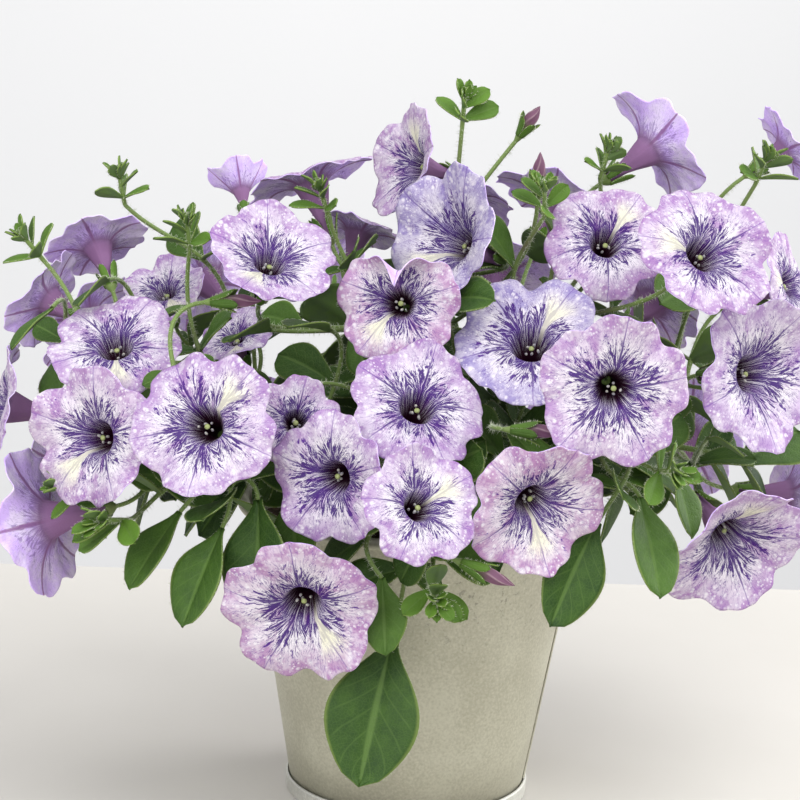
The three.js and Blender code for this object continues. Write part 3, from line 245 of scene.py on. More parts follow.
def pot_radius(z):
    return POT_BASE_RADIUS + (POT_TOP_RADIUS - POT_BASE_RADIUS) * z / POT_HEIGHT


def piece_of(name, bm, materials, node):
    """Makes a finished mesh an object that rides on the plant and stands for its CAD node."""
    mesh = bpy.data.meshes.new(name)
    bm.to_mesh(mesh)
    bm.free()
    for material in materials:
        mesh.materials.append(material)
    mesh.shade_smooth()
    piece = added(name, mesh)
    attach(piece, "root")
    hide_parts(node)
    return piece


def face_out(bm):
    bmesh.ops.recalc_face_normals(bm, faces=bm.faces[:])


def turned(profile, closed=True):
    """Spins a profile of (radius, height) in millimetres about the pot's axis."""
    bm = bmesh.new()
    corners = [bm.verts.new((rho * MM, 0.0, z * MM)) for rho, z in profile]
    pairs = zip(corners, corners[1:] + corners[:1] if closed else corners[1:])
    edges = [bm.edges.new(pair) for pair in pairs]
    bmesh.ops.spin(
        bm, geom=corners + edges, cent=(0, 0, 0), axis=(0, 0, 1), angle=tau,
        steps=SPIN_STEPS, use_merge=True,
    )
    bmesh.ops.remove_doubles(bm, verts=bm.verts[:], dist=1e-6)
    face_out(bm)
    return bm


def arc(centre, radius, start, end, count):
    angles = [radians(start + (end - start) * i / count) for i in range(count + 1)]
    return [(centre[0] + radius * cos(angle), centre[1] + radius * sin(angle)) for angle in angles]


def zinc(name, light, dark, speckle):
    paint = Paint(name)
    cloud = paint.noise(28, 5, 0.6)
    grain = paint.noise(900, 2, 0.6)
    drawn_out = paint.node("Mapping", {"Vector": paint.place(), "Scale": (260, 260, 22)})
    streak = paint.noise(1, 3, 0.5, place=drawn_out)
    colour = paint.mix(paint.ramp(cloud * 0.55 + grain * 0.45, 0.35, 0.65), dark, light)
    upper = paint.ramp(paint.parts(paint.place())[2], 0.055, 0.11, 0.0, speckle)
    dusty = paint.ramp(paint.noise(420, 3, 0.7), 0.56, 0.66) * upper * paint.ramp(streak, 0.35, 0.6)
    roughness = paint.ramp(cloud, 0.3, 0.7, 0.42, 0.56) + streak * 0.1
    return paint.finished(
        paint.mix(dusty, colour, ZINC_SPECK), roughness, grain, 0.12, 0.0004, {"Metallic": 0.55})


bottom = FLOOR_THICKNESS + FIT_GAP
bead = (POT_TOP_RADIUS + RIM_BEAD_RADIUS * 0.6, POT_HEIGHT - RIM_BEAD_RADIUS)
wall_profile = [(pot_radius(bottom) - POT_WALL, bottom), (pot_radius(bottom), bottom)]
wall_profile += [(pot_radius(z), z) for z in WALL_ROWS]
wall_profile += arc(bead, RIM_BEAD_RADIUS, -125, 200, 22)
wall_profile += [(pot_radius(z) - POT_WALL, z) for z in reversed(WALL_ROWS)]
wall_bm = turned(wall_profile)

half_seam = SEAM_WIDTH / 2
seam_cross = [(SEAM_PROUD * (1 - (2 * k / 8 - 1) ** 6), SEAM_WIDTH * (k / 8 - 0.5)) for k in range(9)]
seam_cross = [(-SEAM_SUNK, -half_seam), (SEAM_LIP, -half_seam)] + seam_cross
seam_cross += [(SEAM_LIP, half_seam), (-SEAM_SUNK, half_seam)]
turn = radians(SEAM_TURN - 90)
seam_rows = []
for z in (FOOT_HEIGHT + 1.0, 45.0, 85.0, POT_HEIGHT - 2 * RIM_BEAD_RADIUS):
    row = []
    for proud, across in seam_cross:
        rho = pot_radius(z) + proud
        x = rho * cos(turn) - across * sin(turn)
        y = rho * sin(turn) + across * cos(turn)
        row.append(wall_bm.verts.new((x * MM, y * MM, z * MM)))
    seam_rows.append(row)
for near, far in zip(seam_rows, seam_rows[1:]):
    for i in range(len(near) - 1):
        wall_bm.faces.new((near[i], near[i + 1], far[i + 1], far[i]))
galvanised = zinc("galvanised_steel", ZINC_LIGHT, ZINC_DARK, 0.55)
piece_of("pot_sheet", wall_bm, [galvanised], "pot_wall")

# ---- Pot base: a pressed steel disc whose rolled foot ring grips the wall. It is paler than the wall, partly ----
# as painted reflection of the bright table in front of it, and a fine dark line shows where the two meet.

FOOT_PROUD = 1.5
FOOT_ROLL = 0.95
# The ring's pale tones are partly painted reflection of the bright table in front of it.
RING_LIGHT_PAINTED_REFLECTION = (0.68, 0.675, 0.62, 1)
RING_DARK_PAINTED_REFLECTION = (0.50, 0.495, 0.45, 1)

outer = pot_radius(0) + FOOT_PROUD
grip = pot_radius(FOOT_HEIGHT) + FIT_GAP
base_profile = [(0.0, 0.0), (outer - 0.6, 0.0)]
base_profile += arc((outer + 0.1, 1.0), FOOT_ROLL, -100, 10, 6)
base_profile += arc((outer + 0.3, FOOT_HEIGHT - 1.0), FOOT_ROLL, -10, 100, 6)
base_profile += [(grip + 0.3, FOOT_HEIGHT - 0.1), (grip, FOOT_HEIGHT - 0.3)]
base_profile += [(pot_radius(FLOOR_THICKNESS) + FIT_GAP, FLOOR_THICKNESS), (0.0, FLOOR_THICKNESS)]
ring_zinc_painted_reflection = zinc("galvanised_ring", RING_LIGHT_PAINTED_REFLECTION, RING_DARK_PAINTED_REFLECTION, 0.0)
piece_of("pot_foot", turned(base_profile, closed=False), [ring_zinc_painted_reflection], "pot_base")

# ---- Soil: dark potting compost, crumbly with bark and a few pale grains, a little crowned in the pot. ----
# Its edge ends short of the wall.

SOIL_GAP = 0.5
SOIL_EDGE = 116.0
SOIL_CROWN = 123.0
SOIL_CRUMB, SOIL_SUNK = 0.55, 0.6
SOIL_GRID = (150, 55)
SOIL_BROWN = (0.05, 0.03, 0.018, 1)
SOIL_BARK = (0.14, 0.085, 0.05, 1)
SOIL_GRIT = (0.45, 0.41, 0.35, 1)


def soil_height(x, y):
    reach = hypot(x, y) / POT_TOP_RADIUS
    bumps = sin(x * 0.13 + 1.1) * cos(y * 0.11 + 0.4)
    return SOIL_CROWN - (SOIL_CROWN - SOIL_EDGE) * reach * reach + bumps


def noise(n):
    return sin(n * 12.9898 + 78.233) * 43758.5453 % 1


def drawn(span, n):
    return span[0] + (span[1] - span[0]) * noise(n)


def grid(bm, across, along, place, closed=False):
    """A grid of faces whose corners a formula places, from two shares that each run from 0 to 1."""
    made = bmesh.ops.create_grid(bm, x_segments=across, y_segments=along, size=0.5)["verts"]
    shares = {vert: (vert.co.x + 0.5, vert.co.y + 0.5) for vert in made}
    uv = bm.loops.layers.uv.verify()
    for face in {face for vert in made for face in vert.link_faces}:
        for loop in face.loops:
            loop[uv].uv = shares[loop.vert]
    for vert, (a, b) in shares.items():
        vert.co = Vector(place(a, b)) * MM
    if closed:
        seam = [vert for vert, (a, b) in shares.items() if a < 1e-5 or a > 1 - 1e-5]
        bmesh.ops.remove_doubles(bm, verts=seam, dist=1e-7)
        made = [vert for vert in made if vert.is_valid]
    return made


def soil_place(a, b):
    rho = (pot_radius(SOIL_EDGE) - POT_WALL - SOIL_GAP) * b
    x, y = rho * cos(tau * a), rho * sin(tau * a)
    crumb = sin(x * 1.3 + 2 * sin(y * 0.9)) * cos(y * 1.5 + 2 * sin(x * 0.7))
    return (x, y, soil_height(x, y) + SOIL_CRUMB * crumb - SOIL_SUNK)


soil_bm = bmesh.new()
grid(soil_bm, *SOIL_GRID, soil_place, closed=True)
face_out(soil_bm)
compost = Paint("compost")
lumps = compost.noise(240, 5, 0.7)
barky = compost.mix(compost.ramp(lumps, 0.45, 0.7), SOIL_BROWN, SOIL_BARK)
gritty = compost.ramp(compost.cells(330), 0.12, 0.2, 1, 0) * compost.ramp(lumps, 0.6, 0.66)
compost.finished(compost.mix(gritty, barky, SOIL_GRIT), 0.95, lumps, 0.9, 0.002)
piece_of("compost", soil_bm, [compost.material], "soil")

# ---- Blooms: each is one thin sheet, a narrow tube that flares into a limb of five rounded, ruffled lobes. ----
# The face is lilac with pale speckles, cream wedges and violet veins round a near-black throat. The back is
# dull and ribbed, its lilac lightened as painted light for the light that shines through the thin petal, and the
# tube is dusky purple. A short green stigma and five pale anthers stand in the throat.


def rows(names, table):
    """A table's rows, each as its named values."""
    return [Thing(**dict(zip(names.split(), row))) for row in table]


# Column and row are the throat's in the picture, y its depth. turn and lift aim the bloom, radius is the
# limb's, flare is how far the limb leans forward and bend how much its edge rolls back, in degrees.
BLOOMS_SEEN = rows("on column row y turn lift radius flare bend", (
    ("crown_left", 270, 262, -70, 18, 50, 23, 34, -10), ("front_left", 115, 345, -70, -5, 50, 26, 12, -14),
    ("front_left", 97, 438, -92, -30, 10, 26, 28, -14), ("front_left", 204, 425, -108, -12, 20, 28, 16, -12),
    ("front", 295, 422, -88, 4, 22, 18, 12, -10), ("front", 333, 478, -107, -26, 2, 24.5, 24, -16),
    ("front", 418, 406, -92, 14, 42, 27, 12, -10), ("front", 420, 506, -132, 24, 30, 22, 20, -12),
    ("front", 302, 606, -114, -5, -14, 28, 30, -16), ("front_right", 533, 503, -112, 24, -14, 26, 30, -10),
    ("front_right", 531, 343, -63, -2, 44, 30, 18, -14), ("front_right", 614, 390, -114, 2, 3, 28.5, 16, -14),
    ("crown_right", 606, 242, -34, 6, 34, 24, 22, -14), ("crown_right", 704, 254, -76, 26, 34, 26.5, 26, -14),
    ("right", 752, 374, -58, 38, 11, 29, 34, -12), ("right", 728, 536, -68, 26, -22, 28, 36, -16),
    ("crown_left", 399, 303, -72, -8, 14, 24, 18, -14), ("crown_left", 458, 244, -38, -50, 20, 26, 44, -16),
    ("crown_left", 416, 166, 3, -62, 14, 22, 36, -12), ("crown_left", 358, 232, 45, 150, 62, 20, 30, -16),
    ("back_left", 241, 190, 60, -160, 52, 13, 48, -10), ("left", 98, 247, 6, -150, 45, 21, 24, -16),
    ("crown_right", 650, 150, 15, 112, 32, 24, 34, -14), ("back_right", 785, 150, 40, 100, 34, 19, 26, -12),
    ("right", 790, 285, -10, 60, 22, 22, 14, -12), ("left", 4, 405, -40, -74, 14, 26, 22, -16),
    ("left", 48, 520, -60, -102, -16, 28, 30, -18), ("left", 235, 338, 12, -30, 52, 16, 20, -10),
    ("back_left", 165, 292, 48, -20, 56, 19, 20, -10), ("left", 48, 300, -8, -112, 24, 21, 24, -12),
))

# The blooms of the far side, by where they lie on the dome: turn round it and rise above level.
BLOOMS_AROUND = rows("on turn rise", (
    ("right", 104, -16), ("back_right", 128, -10), ("back", 154, -16), ("back", 180, -6), ("back", 206, -16),
    ("back_left", 232, -10), ("left", 256, -16), ("back_right", 108, 16), ("back_right", 140, 24),
    ("back", 168, 28), ("back", 194, 30), ("back_left", 222, 26), ("back_left", 246, 18),
    ("crown_right", 138, 59), ("crown_back", 166, 56), ("crown_back", 226, 68),
))

# By the bloom's number: a tint from bluish (-1) to pinkish (1), the lobe that is creamy, and the folded lobe.
TINTS = {9: 0.7, 10: 0.8, 11: -0.9, 17: 0.8, 18: -0.8, 28: -0.3, 16: 0.25, 14: 0.2}
CREAMY_LOBES = {3: 3, 4: 1, 9: 4, 13: 1}
FOLDED_LOBES = {17: 1}
FOLD = 95
DOME_CENTRE = (0.0, 0.0, 160.0)
DOME_REACH = (172.0, 128.0, 108.0)
TUBE_SHARE = 0.95
LOBE_TURN = tau / 5
THROAT_SHARE = 0.3
NOTCH_DEPTH, NOTCH_SHARPNESS = 0.13, 5
CURL_WIDTH = 0.5
# Waves round a bloom, each by its height, how many go round and how far its phase shifts from bloom to bloom.
OUTLINE_WAVES = ((0.02, 11, 1),)
LIMB_WAVES = ((1, 7, 1.7), (0.8, 4, 2.3))
EDGE_WAVES = ((1, 23, 1), (0.7, 37, 2.1))
FRILL_WAVES = ((1, 13, 1.3), (0.8, 19, 0.7))
# The limb's folds and finer relief, as shares of its radius: folds, pointed lobes, a crinkled and frilled edge,
# grooves along the midribs, puffs between them, and how deep and how wide the mouth dips.
FOLDS, POINTS, CRINKLES, FRILLS, GROOVES, PUFFS, DIP, DIP_WIDTH = 0.03, 0.012, 0.005, 0.017, 0.026, 0.004, 0.03, 0.07
PETAL_SHEET = 0.35
PETAL_GRID = (120, 34)
LIMB_START = 0.3
TUBE_PROFILE = ((0.0, 0.068, -0.95), (0.2, 0.08, -0.76), (0.4, 0.105, -0.57), (0.6, 0.16, -0.38),
                (0.78, 0.222, -0.2), (0.9, 0.258, -0.085), (0.96, 0.28, -0.03), (1.0, 0.3, 0.0))


class Spot(tuple):
    """A point or a direction, in millimetres."""

    def __add__(self, other):
        return Spot((self[0] + other[0], self[1] + other[1], self[2] + other[2]))

    def __sub__(self, other):
        return Spot((self[0] - other[0], self[1] - other[1], self[2] - other[2]))

    def __mul__(self, share):
        return Spot((self[0] * share, self[1] * share, self[2] * share))

    def __matmul__(self, other):
        return self[0] * other[0] + self[1] * other[1] + self[2] * other[2]


UP = Spot((0.0, 0.0, 1.0))


def cross(a, b):
    return Spot((a[1] * b[2] - a[2] * b[1], a[2] * b[0] - a[0] * b[2], a[0] * b[1] - a[1] * b[0]))


def size_of(a):
    return sqrt(a @ a)


def unit(a):
    return a * (1 / size_of(a))


def on_circle(first, second, turn):
    """The direction at a turn from a first one towards a second one square to it."""
    return first * cos(turn) + second * sin(turn)


def aim(turn, lift):
    """A direction: turn 0 is the front, +90 the right, 180 the back, and lift is the angle above level."""
    t, l = radians(turn), radians(lift)
    return Spot((sin(t) * cos(l), -cos(t) * cos(l), sin(l)))


def aim_of(spec):
    return aim(spec.turn, spec.lift)


def seen_at(spec):
    """The point at depth y that shows at a column and row of the front picture, in millimetres."""
    across, above = spec.column - PICTURE_PIXELS / 2, PICTURE_PIXELS / 2 - spec.row
    right = (across * cos(ROLL) - above * sin(ROLL)) / FOCAL_PIXELS
    rise = (across * sin(ROLL) + above * cos(ROLL)) / FOCAL_PIXELS
    towards = Spot((0.0, -cos(LOOK_DOWN), sin(LOOK_DOWN)))
    eye = Spot(TARGET) + towards * DISTANCE
    ray = towards * -1 + Spot((0.0, sin(LOOK_DOWN), cos(LOOK_DOWN))) * rise
    ray = (ray[0] + right, ray[1], ray[2])
    return eye + Spot(ray) * ((spec.y - eye[1]) / ray[1])


def square_to(axis, roll):
    side = unit(cross(UP, axis))
    first = on_circle(side, cross(axis, side), roll)
    return first, cross(axis, first)


def bloom_around(spec, index):
    seed = (len(BLOOMS_SEEN) + index) * 7
    turned_to = spec.turn + drawn((-5, 5), seed + 1)
    out = aim(turned_to, spec.rise)
    return Thing(
        on=spec.on, turn=turned_to, lift=spec.rise * 0.8 + drawn((4, 16), seed + 2),
        mouth=Spot(c + o * r for c, o, r in zip(DOME_CENTRE, out, DOME_REACH)),
        radius=drawn((24, 28), seed + 3), flare=drawn((12, 26), seed + 4), bend=drawn((-18, -8), seed + 5),
    )


def bloom_from(spec, index):
    folded = FOLDED_LOBES.get(index + 1)
    curls = [FOLD if lobe == folded else drawn((-22, 16), index * 11 + lobe) for lobe in range(5)]
    axis = aim_of(spec)
    first, second = square_to(axis, drawn((-0.5, 0.5), index * 7 + 6))
    return Thing(
        name=f"{index + 1:02d}", on=spec.on, axis=axis, first=first, second=second, seed=index,
        mouth=seen_at(spec) if index < len(BLOOMS_SEEN) else spec.mouth, radius=spec.radius,
        tube=spec.radius * TUBE_SHARE, flare=radians(spec.flare), bend=radians(spec.bend),
        curls=[radians(curl) for curl in curls],
    )


def bloom_point(bloom, turn, rho, height):
    spot = bloom.mouth + bloom.first * (rho * cos(turn))
    return spot + bloom.second * (rho * sin(turn)) + bloom.axis * height


def waves(table, turn, seed):
    return sum(height * sin(count * turn + shift * seed) for height, count, shift in table)


def limb_spot(bloom, turn, q):
    """Distance from the bloom's axis and height along it, at share q from the throat to the edge."""
    radius, seed = bloom.radius, bloom.seed
    notch = ((1 - cos(5 * turn)) / 2) ** NOTCH_SHARPNESS
    outline = 1 - NOTCH_DEPTH * notch + waves(OUTLINE_WAVES, turn, seed)
    start = THROAT_SHARE * radius
    slope = bloom.flare + bloom.bend * q
    for lobe, curl in enumerate(bloom.curls):
        away = abs(turn - lobe * LOBE_TURN) % tau
        near = min(away, tau - away) / CURL_WIDTH
        slope += curl * q * exp(-near * near)
    length = (radius * outline - start) / cos(bloom.flare)
    fold = radius * (FOLDS * q * cos(5 * turn) + FOLDS * q ** 3 * waves(LIMB_WAVES, turn, seed))
    return start + length * q * cos(slope), length * q * sin(slope) + fold


def tube_spot(bloom, turn, s):
    """The same for the tube, at share s from its foot to the throat."""
    k = next(i for i in range(1, len(TUBE_PROFILE)) if TUBE_PROFILE[i][0] >= s - 1e-9)
    (s0, r0, h0), (s1, r1, h1) = TUBE_PROFILE[k - 1], TUBE_PROFILE[k]
    w = (s - s0) / (s1 - s0)
    rib = 1 + 0.05 * cos(5 * turn) * sin(pi * s)
    return bloom.radius * (r0 + (r1 - r0) * w) * rib, bloom.radius * (h0 + (h1 - h0) * w)


def bump(value, width):
    return exp(-(value / width) ** 2)


def petal_place(bloom):
    """The whole corolla by its turn and the share of the way from the tube's foot to the limb's edge."""
    seed, radius = bloom.seed, bloom.radius

    def place(a, b):
        turn = tau * a
        if b <= LIMB_START:
            return bloom_point(bloom, turn, *tube_spot(bloom, turn, b / LIMB_START))
        q = (b - LIMB_START) / (1 - LIMB_START)
        rho, height = limb_spot(bloom, turn, q)
        lobe = (5 * a + 0.5) % 1 - 0.5
        point = bump(lobe, 0.05) - 0.6 * bump(abs(lobe) - 0.13, 0.06)
        rho += radius * q ** 6 * (POINTS * point + CRINKLES * waves(EDGE_WAVES, turn, seed))
        frill = waves(FRILL_WAVES, turn, seed)
        groove = bump(lobe, 0.035) + 0.4 * bump(abs(lobe) - 0.2, 0.05)
        puff = sin(29 * turn + 9 * q + seed) * sin(11 * q + seed)
        height += radius * (FRILLS * q ** 4 * frill - GROOVES * q * (1 - 0.6 * q) * groove)
        height += radius * (PUFFS * puff * q - DIP * exp(-q / DIP_WIDTH))
        return bloom_point(bloom, turn, rho, height)

    return place


def paint_values(mesh, **values):
    """Gives every corner of a mesh the same values, for its material to read."""
    for name, value in values.items():
        layer = mesh.attributes.new(name, "FLOAT", "POINT")
        layer.data.foreach_set("value", [value] * len(mesh.vertices))


LILAC = (0.34, 0.19, 0.42, 1)
LILAC_PINK = (0.39, 0.195, 0.375, 1)
LILAC_BLUE = (0.26, 0.215, 0.45, 1)
PETAL_WHITE = (0.74, 0.70, 0.735, 1)
PETAL_CREAM = (0.76, 0.74, 0.58, 1)
VEIN_VIOLET = (0.038, 0.003, 0.135, 1)
VEIN_LILAC = (0.115, 0.022, 0.30, 1)
THROAT_DARK = (0.028, 0.004, 0.016, 1)
# The back's lilac and white are lighter than the petal's own colour: painted light for the light that shines through
# the thin petal.
BACK_LILAC_PAINTED_LIGHT = (0.70, 0.50, 0.98, 1)
BACK_WHITE_PAINTED_LIGHT = (0.96, 0.90, 0.99, 1)
BACK_RIB = (0.26, 0.09, 0.26, 1)
TUBE_DUSKY = (0.25, 0.13, 0.26, 1)
# The white speckles: how many to a metre, how far each is solid and then fades, of the cell it fills, and the
# least noise that lets one show.
SPECKLES = ((640, 0.12, 0.36, 0.40), (330, 0.14, 0.40, 0.44), (190, 0.12, 0.36, 0.5))


def petal_coordinates(paint):
    """Turn as an angle, share q from the throat's mouth (0) to the edge (1), place across the lobe, its number."""
    across, along = paint.corners()
    turn = across * tau
    q = (along - LIMB_START) / (1 - LIMB_START)
    shifted = across * 5.0 + 0.5
    number = paint.sum("MODULO", paint.sum("FLOOR", shifted), 5.0)
    return turn, q, paint.sum("FRACT", shifted) - 0.5, number


def streaks(paint, q, lobe, number):
    """How strongly the violet veins show: five midveins, and fine streaks that fan out from them in dashes."""
    sway = paint.noise(190, 3) - 0.5
    spread = paint.sum("MAXIMUM", q, 0.0) ** 0.7 * 0.62 + 0.38
    fanned = (sway * 0.09 + lobe) / spread
    which = number * 7.3 + paint.attribute("seed")

    def dashes(across, along, detail, roughness, twist):
        spot = paint.node("CombineXYZ", {0: fanned * across, 1: q * along, 2: which})
        return paint.noise(1.0, detail, roughness, twist, spot)

    reach = (dashes(3.2, 1.4, 2, 0.5, 0.2) - 0.5) * -0.9 + q
    feather = dashes(15.0, 4.2, 4, 0.7, 0.5) - paint.ramp(reach, 0.02, 1.0, 0.44, 0.70)
    solid = paint.sum("MULTIPLY", feather, 26.0, clamp=True)
    thin = paint.ramp(abs(dashes(24.0, 3.4, 3, 0.65, 0.6) - 0.5), 0.008, 0.035, 1, 0)
    thin = thin * paint.ramp(reach, 0.15, 1.05, 1.0, 0.28)
    aside = abs(sway * 0.03 + lobe)
    mid = paint.ramp(aside / paint.ramp(q, 0, 0.8, 0.045, 0.010), 0.3, 1.1, 1, 0)
    mid = mid * paint.ramp(q, 0.3, 1.0, 0.95, 0.5)
    return paint.sum("MAXIMUM", paint.sum("MAXIMUM", solid, thin), mid, clamp=True), aside


def petal_face():
    paint = Paint("petal_face")
    turn, q, lobe, number = petal_coordinates(paint)
    tint = paint.attribute("tint")
    vein, aside = streaks(paint, q, lobe, number)
    # Round the limb: a circle in place of the turn, so that nothing shows where the turn starts again.
    circle = {0: paint.sum("COSINE", turn), 1: paint.sum("SINE", turn), 2: q * 0.5 + paint.attribute("seed")}
    patch = paint.noise(2.2, 3, place=paint.node("CombineXYZ", circle))
    bluish = paint.mix(paint.ramp(tint, -1, 0), LILAC_BLUE, LILAC)
    lilac = paint.mix(paint.ramp(tint, 0, 1), bluish, LILAC_PINK)
    spots = 0.0
    for scale, inner, faded, least in SPECKLES:
        chance = paint.ramp(paint.noise(scale * 0.45, 1), least, least + 0.08)
        spots = paint.sum("MAXIMUM", paint.ramp(paint.cells(scale), inner, faded, 1, 0) * chance, spots)
    pale_zone = paint.ramp(q, 0.25, 0.95, 1, 0.1) * paint.ramp(patch, 0.38, 0.54, 0.15, 1.0)
    blotch = paint.ramp(paint.noise(170, 4, 0.7), 0.42, 0.6)
    ground = lilac
    for share in (blotch * 0.5, pale_zone, spots * 0.85):
        ground = paint.mix(share, ground, PETAL_WHITE)
    creamy = paint.sum("COMPARE", number, paint.attribute("creamy"), 0.5)
    fan = paint.ramp(aside / paint.ramp(q, 0.0, 0.7, 0.12, 0.36), 0.5, 1.0, 1, 0)
    wedge = fan * creamy * paint.ramp(q, 0.3, 0.85, 1, 0)
    ground = paint.mix(wedge, ground, PETAL_CREAM)
    vein_colour = paint.mix(paint.ramp(q, 0.25, 1.0), VEIN_VIOLET, VEIN_LILAC)
    colour = paint.mix(vein * paint.ramp(wedge, 0.2, 1.0, 0.95, 0.35), ground, vein_colour)
    colour = paint.mix(paint.ramp(vein * -0.07 + q, -0.24, -0.09, 1, 0), colour, THROAT_DARK)
    relief = paint.noise(1500, 2) * 0.3 - vein
    roughness = paint.ramp(blotch, 0, 1, 0.6, 0.72)
    return paint.finished(colour, roughness, relief, 0.2, 0.0005, {"Specular IOR Level": 0.08})


def petal_back():
    paint = Paint("petal_back")
    _, q, lobe, number = petal_coordinates(paint)
    vein, aside = streaks(paint, q, lobe, number)
    rib = paint.ramp(aside / paint.ramp(q, 0, 1, 0.09, 0.02), 0.4, 1.0, 1, 0)
    blotch = paint.ramp(paint.noise(95, 4, 0.65), 0.38, 0.66)
    # Painted light: the back's ground is lightened for the light that shines through the thin petal.
    colour = paint.mix(blotch * 0.55, BACK_LILAC_PAINTED_LIGHT, BACK_WHITE_PAINTED_LIGHT)
    colour = paint.mix(vein * 0.55, colour, VEIN_LILAC)
    colour = paint.mix(rib * 0.7, colour, BACK_RIB)
    colour = paint.mix(paint.ramp(q, -0.1, 0.3, 1, 0), colour, TUBE_DUSKY)
    return paint.finished(colour, 0.75, paint.noise(900, 2) - rib, 0.25, 0.0006, {"Specular IOR Level": 0.1})


def thin_sheet(piece, thickness, rim):
    sheet = piece.modifiers.new("sheet", "SOLIDIFY")
    sheet.thickness = thickness * MM
    sheet.offset = -1
    sheet.material_offset = 1
    sheet.material_offset_rim = rim


petal_paints = [petal_face(), petal_back()]
bloom_specs = BLOOMS_SEEN + [bloom_around(spec, index) for index, spec in enumerate(BLOOMS_AROUND)]
blooms = [bloom_from(spec, index) for index, spec in enumerate(bloom_specs)]
for bloom in blooms:
    bm = bmesh.new()
    grid(bm, *PETAL_GRID, petal_place(bloom), closed=True)
    face_out(bm)
    if sum(face.normal.dot(Vector(bloom.axis)) for face in bm.faces) < 0:
        bmesh.ops.reverse_faces(bm, faces=bm.faces[:])
    corolla = piece_of("corolla_" + bloom.name, bm, petal_paints, "bloom_" + bloom.name)
    number = bloom.seed + 1
    paint_values(
        corolla.data, seed=bloom.seed * 1.37, tint=TINTS.get(number, drawn((-0.25, 0.35), number * 1.9)),
        creamy=CREAMY_LOBES.get(number, int(7 * noise(number * 2.3))),
    )
    thin_sheet(corolla, PETAL_SHEET, 1)

KNOB_GRID = (9, 7)
STIGMA_SIZE, ANTHER_SIZE = (1.5, 2.3), (1.8, 1.15)
STIGMA_DEPTH = 0.13
STIGMA_GREEN = ((0.24, 0.28, 0.09, 1), (0.34, 0.38, 0.16, 1))
ANTHER_GREY = ((0.50, 0.48, 0.38, 1), (0.24, 0.23, 0.29, 1))


def soft_part(name, colours, scale, roughness):
    paint = Paint(name)
    mottle = paint.noise(scale, 3)
    return paint.finished(paint.mix(paint.ramp(mottle, 0.35, 0.65), *colours), roughness, mottle, 0.2, 0.0003)


def knob(bm, spot, axis, length, width):
    """A small egg on a spot, its long way along an axis."""
    first, second = square_to(axis, 0)

    def place(a, b):
        turn, rise = tau * a, pi * (b - 0.5)
        out = width / 2 * max(cos(rise), 0.02)
        return spot + axis * (length / 2 * sin(rise)) + on_circle(first, second, turn) * out

    return grid(bm, *KNOB_GRID, place, closed=True)


def heart_of(bloom):
    bm = bmesh.new()
    radius, axis = bloom.radius, bloom.axis
    deep = bloom_point(bloom, 0, 0, -STIGMA_DEPTH * radius)
    knob(bm, deep + bloom.first * 0.3, axis, *STIGMA_SIZE)
    green = set(bm.faces)
    for i in range(5):
        draw = bloom.seed * 5 + i
        turn = LOBE_TURN * (i + drawn((-0.35, 0.35), draw + 0.2))
        spot = bloom_point(bloom, turn, radius * drawn((0.045, 0.11), draw), -radius * drawn((0.12, 0.3), draw + 0.6))
        lean = bloom.first + bloom.second * drawn((-1.5, 1.5), draw + 0.4)
        knob(bm, spot, unit(axis + lean * drawn((-0.8, 0.8), draw + 0.8)), *ANTHER_SIZE)
    for face in bm.faces:
        face.material_index = 0 if face in green else 1
    face_out(bm)
    return bm


heart_paints = [soft_part("stigma", STIGMA_GREEN, 2500, 0.35), soft_part("anther", ANTHER_GREY, 1800, 0.8)]
for bloom in blooms:
    piece_of("stamens_" + bloom.name, heart_of(bloom), heart_paints, "bloom_" + bloom.name)

# ---- Leafy shoots: soft round stems rooted in the soil, a stalk to each bloom, a calyx of five narrow sepals ----
# under it, slim closed buds, paddle-shaped leaves and tufts of small leaves at the tips. All is green and downy.

# The main stems: turn round the pot, root's distance from the axis, then distance and height on the way.
SHOOTS = rows("name turn root line", (
    ("front", 2, 30, ((34, 134), (52, 152), (72, 156), (88, 150))),
    ("front_right", 48, 34, ((38, 134), (62, 156), (90, 168), (112, 166))),
    ("right", 78, 36, ((42, 134), (74, 152), (108, 160), (138, 156))),
    ("back_right", 116, 34, ((40, 136), (66, 160), (94, 176), (122, 180))),
    ("back", 180, 32, ((36, 134), (56, 152), (76, 160), (92, 158))),
    ("back_left", 238, 34, ((40, 134), (62, 156), (90, 170), (116, 172))),
    ("left", 282, 36, ((42, 134), (74, 152), (106, 158), (136, 154))),
    ("front_left", 314, 34, ((38, 134), (60, 152), (84, 160), (106, 158))),
    ("crown_left", 300, 12, ((12, 140), (13, 165), (15, 190), (18, 212))),
    ("crown_right", 62, 15, ((18, 140), (30, 165), (44, 190), (56, 212))),
    ("crown_back", 190, 14, ((15, 140), (20, 165), (26, 190), (32, 208))),
))

